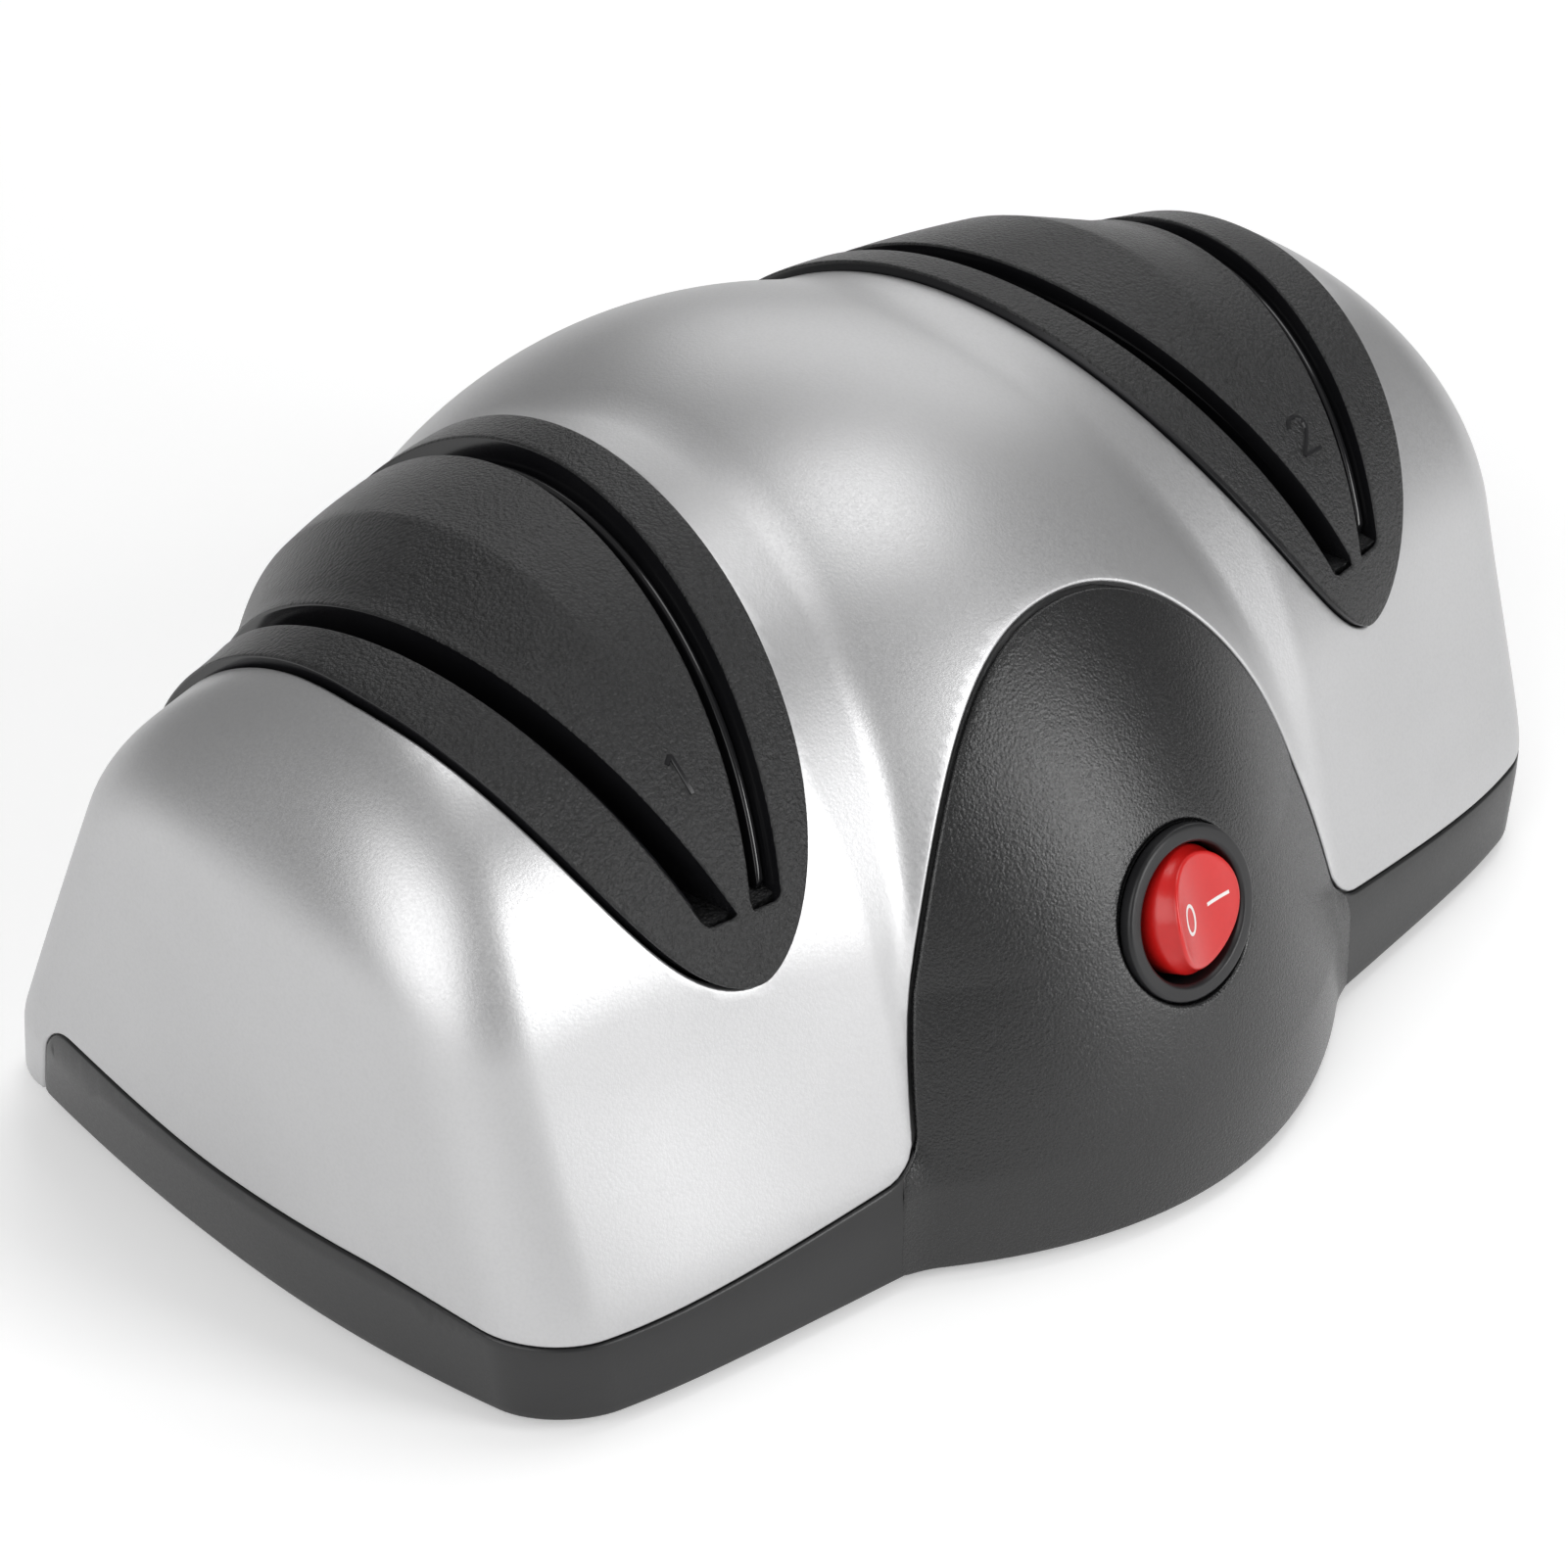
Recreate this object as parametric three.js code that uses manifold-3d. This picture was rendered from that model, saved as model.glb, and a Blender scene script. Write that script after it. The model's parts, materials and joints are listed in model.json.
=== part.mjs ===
// Electric knife sharpener, two stages, 60 W class. Millimetres, +Z up, front towards -Y.
// The origin is the middle of the footprint, at the height of the table under the rubber feet.
import * as THREE from 'three';
import { mergeVertices } from 'three/addons/utils/BufferGeometryUtils.js';
import Module from 'manifold-3d';

const wasm = await Module();
wasm.setup();
const rad = THREE.MathUtils.degToRad;

// General sizes.
const GAP = 0.3;                 // air between neighbouring pieces
const WALL = 2.6;                // wall of the mouldings
const FOOT_HEIGHT = 2;           // how far the rubber feet stand proud of the underside
const OVER = 1;                  // how far a cutter passes through a face
const FAR = 130;                 // further than any face of the product
const ROUND = 28;                // facets round a large turned piece
const MEDIUM_ROUND = 18;
const SMALL_ROUND = 10;

// Outside of the housing.
const HALF_LENGTH = 101.7;       // half length over the lobe ends, at knee height
const END_TO_CORNER = 16.7;       // from a lobe end to the front corner of its skirt
const KNEE_Z = 15;               // height where the upright skirt turns into the leaning wall
const FRONT_Y = -59.4;           // front wall at the foot of the bulge crease
const CREASE_X = 41.3;           // half width of the front bulge at its foot
const FRONT_SWEEP = rad(8.9);    // the front wall runs back towards the ends
const FRONT_LEAN = rad(15);      // the front wall leans back
const BACK_LEAN_MID = rad(18);   // the back wall leans forward, near the dome
const BACK_LEAN_END = rad(26);   // and at the lobe ends
const BACK_DEPTH_SHARE_MID = 0.94;   // depth of the back half of the arch against its front half
const BACK_DEPTH_SHARE_END = 0.99;
const ARCH_Y_MID = 5.3;          // centre of the arch near the dome
const ARCH_Y_END = -3.2;         // centre of the arch at the lobe ends
const ARCH_SHIFT_FROM = 30;      // the arch centre moves between these two stations
const ARCH_SHIFT_TO = HALF_LENGTH - END_TO_CORNER;
const ARCH_TOP = 89.9;           // top of the collars beside the dome
const CROWN_FROM = 16;           // from here the ridge falls towards the end
const CROWN_DROP = 11.8;         // fall of the ridge at the lobe end
const CROWN_POWER = 1.5;
const END_FILLET_FOOT = 6;       // radius between lobe end and front wall, at the skirt
const END_FILLET_FRONT = 13;     // the same at the top of the front wall
const END_FILLET_TOP = 20;       // the same over the lobe
const END_FILLET_BACK = 7;       // the same at the back wall
const END_BOW_FRONT = 200;       // plan radius of the lobe ends, front half
const END_BOW_BACK = 300;        // and back half
const END_BOW_Y = -2;
const END_BOW_FROM = 45;         // the bow fades in from this station
const END_BOW_REACH = 60;        // and grows no further from here to the back wall
const END_LEAN = rad(2);         // the lobe ends lean inwards
const END_FLARE_FRONT = 1;       // the skirt is this much narrower at its foot, each end
const END_FLARE_BACK = 4;        // the same at the back corners
const END_FLARE_HALF = 45;       // from the middle to each of these corners
const DOME_RADIUS = 70;
const DOME_Y = 4.8;
const DOME_Z = 23.2;
const DOME_HALF_SPAN = 46;       // stretch of the dome body; its rim lies inside the lobes

// Parting line between skirt and upper shell.
const SKIRT_Z = 13.1;            // lowest height of the parting line, at the front corners
const SKIRT_RISE_FRONT = 5.8;    // rise towards the bulge
const SKIRT_RISE_POWER = 1.6;
const SKIRT_RISE_END = 3.1;      // rise in the middle of the lobe ends
const SKIRT_RISE_FROM = -50;
const SKIRT_RISE_TO = -4;
const SKIRT_FALL_BACK = 2.6;     // fall from there to the back corners
const SKIRT_FALL_FROM = 4;
const SKIRT_CORNER_X = HALF_LENGTH - END_TO_CORNER;
const SKIRT_BACK_Y = 47.6;       // the skirt stops here at each back corner
const SKIRT_BACK_ROUND = 5;

// Front bulge, which carries the switch.
const BULGE_HEIGHT = 73.4;       // crown of the arch above the underside
const BULGE_POWER = 2.1;         // fullness of the arch
const BULGE_PROFILE_RADIUS = 98.3;   // side view of the bulge
const BULGE_FRONT_Y = -74.8;
const BULGE_WALL = 2.4;
const BULGE_LIP = 4;             // depth of the rim that passes through the shell

// Sharpening stages: guide inserts, blade rails, discs.
const STAGE_SHARE = 0.5605;      // middle of each stage, as a share of the half length
const STAGE_X = HALF_LENGTH * STAGE_SHARE;
const LEAF_AXIS_Y = 2.6;         // the leaf outline is laid round this axis
const LEAF_AXIS_Z = 33;
const LEAF_NEAR = 36;            // from the leaf axis to the inner end of its cutter
const LEAF_REACH = 68;           // and to the outer end
const LEAF_INNER_SHARE = 0.4947; // half widths, as shares of the stage's place
const LEAF_OUTER_SHARE = 0.4421;
const LEAF_INNER = STAGE_X * LEAF_INNER_SHARE;   // half width towards the dome
const LEAF_OUTER = STAGE_X * LEAF_OUTER_SHARE;   // half width towards the lobe end
const LEAF_TIP = rad(72.5);      // front tip, from the vertical
const LEAF_WIDE_INNER = rad(-38);    // here each edge starts to close in
const LEAF_WIDE_OUTER = rad(8);
const LEAF_CLOSE_BACK = rad(-40);
const LEAF_BACK = rad(-76);      // rounded back end
const LEAF_BACK_BEND = [2.4, 0.45];  // exponents of the three closing curves
const LEAF_INNER_BEND = [2, 0.62];
const LEAF_OUTER_BEND = [1.5, 0.51];
const LEAF_PROUD = 1.3;          // the insert stands above the shell
const LEAF_DEPTH = 1.6;          // and reaches below it
const SLOT_WIDTH = 4.4;
const SLOT_SLANT = 0.27;         // sideways run per unit of height
const SLOT_YAW = 0.118;          // sideways run per unit of depth
const SLOT_OFFSET = 3.2;         // from the stage middle, at the front end of the slot floor
const SLOT_FRONT_Y = -45;
const SLOT_FLOOR_Z = 58;
const BLOCK_HALF_WIDTH = 22;     // guide block under the insert
const BLOCK_FLOOR_Z = 54;
const BLOCK_NEAR = 14;           // from the leaf axis to the block's inner end
const BLOCK_INSET = 2;           // the block is this much smaller than the leaf
const BLOCK_CLEARANCE = 0.5;     // from the block to the inside of the shell
const POCKET_HALF_WIDTH = 13.5;  // room for the discs in the guide block
const POCKET_HALF_DEPTH = 28;
const POCKET_TOP_Z = 61.5;
const RAIL_THICKNESS = 1.2;
const RAIL_DEPTH = 1.2;          // crest of the rails under the shell's face
const DISC_RADIUS = 27;
const DISC_BORE = 8.3;
const DISC_THICKNESS = 3;
const DISC_CHAMFER = 1;
const DISC_ROOT = 0.75;          // inner flank at the bore, from the stage middle
const DISC_FACETS = 30;
const HUB_RADIUS = 8;
const HUB_HALF_LENGTH = 7;
const HUB_FLANGE_RADIUS = 10;
const HUB_FLANGE_HALF = 0.4;
const NUT_ACROSS_CORNERS = 12;
const NUT_HEIGHT = 4;
const NUT_SIDES = 6;

// Drive.
const AXLE_Y = 5.3;
const AXLE_Z = 33;
const SHAFT_RADIUS = 3;
const SHAFT_END = 5;             // beyond the middle of each outer bearing
const CASE_RADIUS = 21;
const CASE_HALF_LENGTH = 26;
const CASE_WALL = 1.5;
const MAGNET_THICKNESS = 2.8;
const MAGNET_ARC = rad(130);
const MAGNET_HALF_LENGTH = 17;
const MAGNET_STEPS = 10;
const CORE_RADIUS = 15.6;
const CORE_HALF_LENGTH = 13;
const CORE_POLES = 5;
const CORE_SLOT_WIDTH = 2.4;
const CORE_SLOT_DEPTH = 6.5;
const COIL_RADIUS = 12.8;
const COIL_LENGTH = 4.5;
const COIL_SHOULDER_SHARE = 0.7;
const COIL_CHAMFER = 3;
const COMMUTATOR_RADIUS = 5.4;
const COMMUTATOR_LENGTH = 7;
const BRUSH_WIDTH = 4;
const BRUSH_LENGTH = 9;
const BRUSH_HOLDER_WALL = 1.1;
const BELL_THICKNESS = 3;
const BELL_INSET = 1;            // the bells are this much smaller than the case
const BUSH_SEAT_WALL = 3;
const BUSH_RADIUS = 6.5;
const BUSH_LENGTH = 7;
const FAN_RADIUS = 14.5;
const FAN_HUB_RADIUS = 6;
const FAN_LENGTH = 5;
const FAN_BLADES = 7;
const FAN_BLADE_THICKNESS = 1.2;
const END_TO_BEARING = 21.7;
const OUTBOARD_X = HALF_LENGTH - END_TO_BEARING;   // outer bearings
const OUTBOARD_RADIUS = 8;
const OUTBOARD_LENGTH = 6;
const OUTBOARD_BLOCK_HALF = 12;
const CRADLE_X = 17;             // motor saddles
const CRADLE_THICKNESS = 7;
const CRADLE_HALF_WIDTH = 29.8;
const CLAMP_THICKNESS = 2;
const CLAMP_EAR = 8.2;
const CLAMP_SCREW_Y = 26.4;      // from the axle
const CLAMP_SCREW_LENGTH = 12;

// Switch. Its frame has x to the right, y up the tilted seat and z out of it.
const SWITCH_Y = -65.14;         // middle of the round seat
const SWITCH_Z = 39.63;
const SWITCH_TILT = rad(17.5);
const BEZEL_RADIUS = 11.5;
const BEZEL_HEIGHT = 2;
const BEZEL_EDGE_HEIGHT = 1.1;
const BEZEL_CHAMFER = 0.9;
const SWITCH_BODY_RADIUS = 10;
const SWITCH_BODY_DEPTH = 17;
const SWITCH_BORE = 9.1;
const SWITCH_BORE_DEPTH = 9;
const SEAT_RADIUS = 12.8;
const ROCKER_RADIUS = 8.25;
const ROCKER_PIVOT = -3;         // pivot height, from the seat
const ROCKER_MIDDLE = 2.4;       // top of the rocker over the pivot line
const ROCKER_QUARTER = 2.94;     // top halfway out
const ROCKER_EDGE = 4.2;         // top at its ends
const ROCKER_TOP_HALF = 7.5;     // half width there, which clears the bezel when pressed
const ROCKER_SHOULDER = 0.7;
const ROCKER_WAIST = -2;
const ROCKER_FOOT = -5;
const ROCKER_FOOT_HALF = 5.6;
const ROCKER_THROW = rad(12);    // each way from level
const TERMINAL_WIDTH = 6.3;
const TERMINAL_THICKNESS = 0.8;
const TERMINAL_LENGTH = 8;
const TERMINAL_X = 3.5;

// Board, leads and gland.
const BOARD_WIDTH = 50;
const BOARD_DEPTH = 24;
const BOARD_THICKNESS = 1.6;
const BOARD_Y = 48;
const BOARD_Z = 12;
const BOARD_POST_RADIUS = 3;
const BOARD_POST_INSET = 4;
const BOARD_SCREW_LENGTH = 5;
const BRIDGE_X = -10;
const BRIDGE_SIZE = 14;
const BRIDGE_HEIGHT = 5;
const CAPACITOR_X = 14;
const CAPACITOR_RADIUS = 6.3;
const CAPACITOR_HEIGHT = 22;
const CAPACITOR_CHAMFER = 0.6;
const LEAD_RADIUS = 1.1;
const LEAD_FACETS = 6;
const LEAD_STEPS = 14;
const LEAD_STRAIGHT = 3;         // straight stretch at the switch
const LEAD_ROUTE = [             // right lead, after that stretch, with its y and z in the housing
  [5, -35, 24], [6.5, -31, 11], [7, -20, 7], [7, 20, 7], [7, 30, 9], [6.5, 34, 16], [4, 37.5, 18.5],
];
const LEAD_END = [2.5, 39.2];    // where it meets the board
const GLAND_X = 46;
const GLAND_Z = 17;
const GLAND_RADIUS = 5.5;
const GLAND_BORE = 3.4;
const GLAND_FLANGE = 7.2;
const GLAND_FLANGE_THICKNESS = 1.6;
const GLAND_PAD_RADIUS = 9;      // round pad with an upright seat for the flange
const GLAND_PAD_DEPTH = 5;
const GLAND_SEAT = 1.2;          // the seat stands this far behind the sloping wall
const GLAND_INSIDE = 5;
const GLAND_OUTSIDE = 6.5;

// Feet, screws and vents.
const FOOT_RADIUS = 7;
const FOOT_RECESS = 1;
const FOOT_CHAMFER = 0.6;
const END_TO_FOOT = 23.7;
const FOOT_X = HALF_LENGTH - END_TO_FOOT;
const FOOT_FRONT_Y = -38;
const FOOT_BACK_Y = 36;
const BOSS_RADIUS = 3.8;
const POST_RADIUS = 4.8;
const LEAF_TO_BOSS = 4.8;        // from the leaf's outer edge
const BOSS_X = STAGE_X + LEAF_OUTER + LEAF_TO_BOSS;
const BOSS_FRONT_Y = -24;
const BOSS_BACK_Y = 22;
const BOSS_SPLIT_Z = 22;         // foot of the shell's bosses
const BOSS_PILOT_DEPTH = 11;
const SCREW_RADIUS = 1.5;
const SCREW_HEAD_RADIUS = 3;
const SCREW_HEAD_HEIGHT = 2;
const SCREW_SINK = 0.5;          // the screw heads lie this far inside the underside
const SCREW_LENGTH = 22;
const VENT_WIDTH = 3;
const VENT_LENGTH = 26;
const VENT_FRONT_Y = -42;
const VENT_PITCH = 8;
const VENT_COUNT = 5;

// Materials: colour, roughness, metalness.
const MATERIALS = {
  blackPlastic: ['#1b1c1f', 0.55, 0],
  glossBlack: ['#101114', 0.2, 0],
  silverPaint: ['#c3c6ca', 0.4, 0.55],
  steel: ['#a9adb2', 0.3, 0.9],
  darkSteel: ['#5f6368', 0.45, 0.8],
  copper: ['#b5683a', 0.35, 0.9],
  coarseGrit: ['#6f6658', 0.95, 0.1],
  fineGrit: ['#b9b4a8', 0.9, 0],
  redPlastic: ['#c4201c', 0.3, 0],
  nylon: ['#d9d3c2', 0.6, 0],
  rubber: ['#232324', 0.9, 0],
  board: ['#2f6b3c', 0.6, 0],
  magnet: ['#3a3a3d', 0.8, 0.1],
  brass: ['#c9a24a', 0.3, 0.9],
  bronze: ['#9a7440', 0.5, 0.7],
  carbon: ['#2a2a2c', 0.8, 0.1],
  capacitorSleeve: ['#20304f', 0.4, 0],
  leadSleeve: ['#7c2020', 0.6, 0],
};

// Small tools.
const V = (x, y, z) => new THREE.Vector3(x, y, z);
const mix = (a, b, t) => a + (b - a) * t;
const clamp01 = (t) => Math.min(1, Math.max(0, t));
const range = (n, f) => Array.from({ length: n }, (_, i) => f(i));

function smooth(a, b, v) {
  const t = clamp01((v - a) / (b - a));
  return t * t * (3 - 2 * t);
}

const WELD = 1e-4;               // points closer than this are one
// A geometry's points alone, with no double ones.
function welded(geometry) {
  geometry.deleteAttribute('normal');
  geometry.deleteAttribute('uv');
  return mergeVertices(geometry, WELD);
}

// A manifold solid from a closed three.js geometry.
function solid(geometry) {
  const merged = welded(geometry);
  return new wasm.Manifold(new wasm.Mesh({
    numProp: 3,
    vertProperties: Float32Array.from(merged.attributes.position.array),
    triVerts: Uint32Array.from(merged.index.array),
  }));
}

// A solid from points and triangles, turned right way out.
function body(points, faces) {
  let volume = 0;
  faces.forEach(([a, b, c]) => {
    volume += points[a].dot(points[b].clone().cross(points[c]));
  });
  const geometry = new THREE.BufferGeometry();
  const coordinates = points.flatMap((p) => [p.x, p.y, p.z]);
  geometry.setAttribute('position', new THREE.Float32BufferAttribute(coordinates, 3));
  geometry.setIndex(faces.flatMap(([a, b, c]) => (volume > 0 ? [a, b, c] : [a, c, b])));
  return solid(geometry);
}

// A solid through a row of convex rings, closed by a fan at each end.
function loft(rings) {
  const n = rings[0].length;
  const points = rings.flat();
  const faces = [];
  for (let r = 0; r + 1 < rings.length; r += 1) {
    for (let i = 0; i < n; i += 1) {
      const a = r * n + i;
      const b = r * n + ((i + 1) % n);
      faces.push([a, b, a + n], [b, b + n, a + n]);
    }
  }
  [0, rings.length - 1].forEach((r) => {
    const hub = points.length;
    points.push(rings[r].reduce((s, p) => s.add(p), V(0, 0, 0)).divideScalar(n));
    for (let i = 0; i < n; i += 1) {
      const a = r * n + i;
      const b = r * n + ((i + 1) % n);
      faces.push(r > 0 ? [a, b, hub] : [b, a, hub]);
    }
  });
  return body(points, faces);
}

const join = (...list) => list.reduce((a, b) => a.add(b));
const cut = (a, ...list) => list.reduce((s, b) => s.subtract(b), a);
const common = (...list) => list.reduce((a, b) => a.intersect(b));
const mirrored = (s) => s.mirror([1, 0, 0]);
const flipped = (s) => s.mirror([0, 0, 1]);
const bothSides = (s) => join(s, mirrored(s));
const moved = (s, x, y, z) => s.translate([x, y, z]);

// A box given by its two corners.
function box(x0, y0, z0, x1, y1, z1) {
  const g = new THREE.BoxGeometry(x1 - x0, y1 - y0, z1 - z0);
  g.translate((x0 + x1) / 2, (y0 + y1) / 2, (z0 + z1) / 2);
  return solid(g);
}

// A turned solid about +Z from [radius, height] pairs; the profile starts and ends on the axis,
// or closes on itself.
function turned(profile, facets) {
  const closed = profile[0][0] === 0 ? profile : [...profile, profile[0]];
  const g = new THREE.LatheGeometry(closed.map(([r, h]) => new THREE.Vector2(r, h)), facets);
  g.rotateX(Math.PI / 2);
  const merged = welded(g);
  const index = merged.index.array;
  const kept = range(index.length / 3, (i) => [index[3 * i], index[3 * i + 1], index[3 * i + 2]])
    .filter(([a, b, c]) => a !== b && b !== c && c !== a);
  const p = merged.attributes.position;
  return body(range(p.count, (i) => V(p.getX(i), p.getY(i), p.getZ(i))), kept);
}

const rod = (r, h0, h1, facets = SMALL_ROUND) =>
  turned([[0, h0], [r, h0], [r, h1], [0, h1]], facets);
const ring = (r0, r1, h0, h1, facets = ROUND) =>
  turned([[r0, h0], [r1, h0], [r1, h1], [r0, h1]], facets);
// From the turning axis +Z to the axle, which runs along +X.
const onAxle = (s, x = 0) => moved(s.rotate([0, 90, 0]), x, AXLE_Y, AXLE_Z);

function extruded(points, h0, h1) {
  const shape = new THREE.Shape(points.map(([x, y]) => new THREE.Vector2(x, y)));
  const g = new THREE.ExtrudeGeometry(shape, { depth: h1 - h0, bevelEnabled: false });
  g.translate(0, 0, h0);
  return solid(g);
}

// The arch of the lobes and collars at one station along the length.
function archAt(u) {
  const share = smooth(ARCH_SHIFT_FROM, ARCH_SHIFT_TO, u);
  const y = mix(ARCH_Y_MID, ARCH_Y_END, share);
  const fall = Math.max(0, (u - CROWN_FROM) / (HALF_LENGTH - CROWN_FROM));
  const top = ARCH_TOP - CROWN_DROP * fall ** CROWN_POWER;
  const front = FRONT_Y + Math.max(0, u - CREASE_X) * Math.tan(FRONT_SWEEP);
  const across = Math.cos(FRONT_LEAN) * (y - front) - Math.sin(FRONT_LEAN) * (top - KNEE_Z);
  const radius = across / (1 - Math.sin(FRONT_LEAN));
  const lean = mix(BACK_LEAN_MID, BACK_LEAN_END, share);
  const depth = mix(BACK_DEPTH_SHARE_MID, BACK_DEPTH_SHARE_END, share);
  return { y, z: top - radius, radius, front, lean, depth };
}

const ARC_STEPS = 14;
const SECTION_POINTS = ARC_STEPS + 5;
const BASE_Z = -FOOT_HEIGHT;
// Side view of the form at one station, grown by `grow`, as points from the foot of the back wall
// over the top to the foot of the front wall. It reaches below the underside.
function section(u, grow) {
  const a = archAt(u);
  const r = a.radius + grow;
  const start = Math.atan(Math.tan(a.lean) / a.depth);
  const arc = range(ARC_STEPS + 1, (i) => {
    const t = mix(start, Math.PI - FRONT_LEAN, i / ARC_STEPS);
    return [a.y + r * Math.cos(t) * (t < Math.PI / 2 ? a.depth : 1), a.z + r * Math.sin(t)];
  });
  const back = (z) => [arc[0][0] + (arc[0][1] - z) * Math.tan(a.lean), z];
  return [back(BASE_Z), back(KNEE_Z), ...arc, [a.front - grow, KNEE_Z], [a.front - grow, BASE_Z]];
}

// Fillet radius of the lobe ends at each point of a section.
function endFillet(i) {
  if (i > ARC_STEPS + 2) return END_FILLET_FOOT;
  const t = Math.max(0, (i - 2) / ARC_STEPS);
  return t < 0.5 ? mix(END_FILLET_BACK, END_FILLET_TOP, smooth(0, 0.5, t))
    : mix(END_FILLET_TOP, END_FILLET_FRONT, smooth(0.5, 1, t));
}

// Where a point of a station really lies: the lobe ends are bowed, lean in and flare.
function placed(u, side, y, z) {
  const fade = smooth(END_BOW_FROM, HALF_LENGTH - END_FILLET_TOP, u);
  const away = Math.min(y, END_BOW_REACH) - END_BOW_Y;
  const bow = away ** 2 / (2 * (away < 0 ? END_BOW_FRONT : END_BOW_BACK));
  const lean = Math.tan(END_LEAN) * Math.max(0, z - KNEE_Z);
  const flare = mix(END_FLARE_FRONT, END_FLARE_BACK, smooth(-END_FLARE_HALF, END_FLARE_HALF, y))
    * Math.max(0, (KNEE_Z - z) / (KNEE_Z - FOOT_HEIGHT));
  return V(side * (u - fade * (bow + lean + flare)), y, z);
}

const STATIONS = [0, 20, 34, 46, 56, 66, 74];
const FILLET_STEPS = 4;
const CAP_SHARES = [0.62, 0.25];

// The lobes and collars as one solid, grown by `grow`.
function lobes(grow) {
  const half = HALF_LENGTH + grow;
  const side = STATIONS.map((u) => section(u, grow).map(([y, z]) => [u, y, z]));
  for (let k = 0; k <= FILLET_STEPS; k += 1) {
    const t = (k / FILLET_STEPS) * Math.PI / 2;
    side.push(range(SECTION_POINTS, (i) => {
      const fillet = endFillet(i) + grow;
      const u = half - fillet * (1 - Math.sin(t));
      return [u, ...section(u, grow - fillet * (1 - Math.cos(t)))[i]];
    }));
  }
  const rim = side[side.length - 1];
  const middle = archAt(half).y;
  CAP_SHARES.forEach((s) => {
    side.push(rim.map(([u, y, z]) => [u, mix(middle, y, s), mix(BASE_Z, z, s)]));
  });
  const ringsOn = (sign) => side.map((ps) => ps.map(([u, y, z]) => placed(u, sign, y, z)));
  return loft([...ringsOn(-1).slice(1).reverse(), ...ringsOn(1)]);
}

const DOME_STEPS = 6;
const DOME_FACETS = 40;
function dome(radius) {
  const rim = range(DOME_STEPS + 1, (i) => {
    const x = mix(-DOME_HALF_SPAN, DOME_HALF_SPAN, i / DOME_STEPS);
    return [Math.sqrt(radius * radius - x * x), x];
  });
  const barrel = turned([[0, -DOME_HALF_SPAN], ...rim, [0, DOME_HALF_SPAN]], DOME_FACETS);
  return moved(barrel.rotate([0, 90, 0]), 0, DOME_Y, DOME_Z);
}

// The whole outer form, cut off level at the height `foot`.
function form(grow, foot) {
  const below = box(-FAR, -FAR, foot - FAR, FAR, FAR, foot);
  return cut(join(lobes(grow), dome(DOME_RADIUS + grow)), below);
}

// Height of the parting line.
function partingZ(x, y) {
  const towardsBulge = clamp01((SKIRT_CORNER_X - Math.abs(x)) / (SKIRT_CORNER_X - CREASE_X));
  const backwards = smooth(SKIRT_RISE_FROM, SKIRT_RISE_TO, y);
  const rise = SKIRT_RISE_FRONT * towardsBulge ** SKIRT_RISE_POWER;
  const fall = SKIRT_FALL_BACK * smooth(SKIRT_FALL_FROM, SKIRT_BACK_Y, y);
  const over = Math.max(0, y - (SKIRT_BACK_Y - SKIRT_BACK_ROUND));
  const corner = SKIRT_BACK_ROUND - Math.sqrt(Math.max(0, SKIRT_BACK_ROUND ** 2 - over ** 2));
  return SKIRT_Z + mix(rise, SKIRT_RISE_END, backwards) - fall - corner;
}

const PARTING_X = [20, 41, 48, 55, 63, 72, 85, 90, 120];
const PARTING_Y = [-110, -58, -52, -46, -38, -30, -20, -10, 10, 30];
const PARTING_CORNER_SHARES = [0, 0.35, 0.65, 0.88, 1];
// Everything under the parting line and in front of the skirt's back ends, grown by `grow`.
function underParting(grow) {
  const xs = [...PARTING_X.slice().reverse().map((x) => -x), 0, ...PARTING_X];
  const ys = [...PARTING_Y,
    ...PARTING_CORNER_SHARES.map((s) => SKIRT_BACK_Y - SKIRT_BACK_ROUND * (1 - s))];
  const n = ys.length;
  const at = (i, j) => i * n + j;
  const grid = (height) => xs.flatMap((x) => ys.map((y, j) =>
    V(x, y + (j === n - 1 ? grow : 0), height(x, y))));
  const points = [...grid((x, y) => partingZ(x, y) + grow), ...grid(() => -FOOT_HEIGHT)];
  const base = xs.length * n;
  const faces = [];
  const wall = (a, b) => faces.push([a, base + a, base + b], [a, base + b, b]);
  for (let i = 0; i + 1 < xs.length; i += 1) {
    for (let j = 0; j + 1 < n; j += 1) {
      const [a, b, c, d] = [at(i, j), at(i + 1, j), at(i + 1, j + 1), at(i, j + 1)];
      faces.push([a, b, c], [a, c, d]);
      faces.push([base + a, base + c, base + b], [base + a, base + d, base + c]);
    }
    wall(at(i, 0), at(i + 1, 0));
    wall(at(i + 1, n - 1), at(i, n - 1));
  }
  for (let j = 0; j + 1 < n; j += 1) {
    wall(at(0, j + 1), at(0, j));
    wall(at(xs.length - 1, j), at(xs.length - 1, j + 1));
  }
  return body(points, faces);
}

// Front face of the form without the bulge, at a place of the front view.
function frontFace(x, z) {
  const a = archAt(Math.abs(x));
  const tangent = a.z + a.radius * Math.sin(FRONT_LEAN);
  let y = a.front + Math.max(0, z - KNEE_Z) * Math.tan(FRONT_LEAN);
  if (z >= tangent) y = a.y - Math.sqrt(Math.max(0, a.radius ** 2 - (z - a.z) ** 2));
  const d = DOME_RADIUS ** 2 - x * x - (z - DOME_Z) ** 2;
  return d > 0 ? Math.min(y, DOME_Y - Math.sqrt(d)) : y;
}

// Side view of the bulge, and its half width, at a height.
function bulgeFront(z) {
  const rise = Math.sqrt(BULGE_PROFILE_RADIUS ** 2 - (z - FOOT_HEIGHT) ** 2);
  return BULGE_FRONT_Y + BULGE_PROFILE_RADIUS - rise;
}

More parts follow.
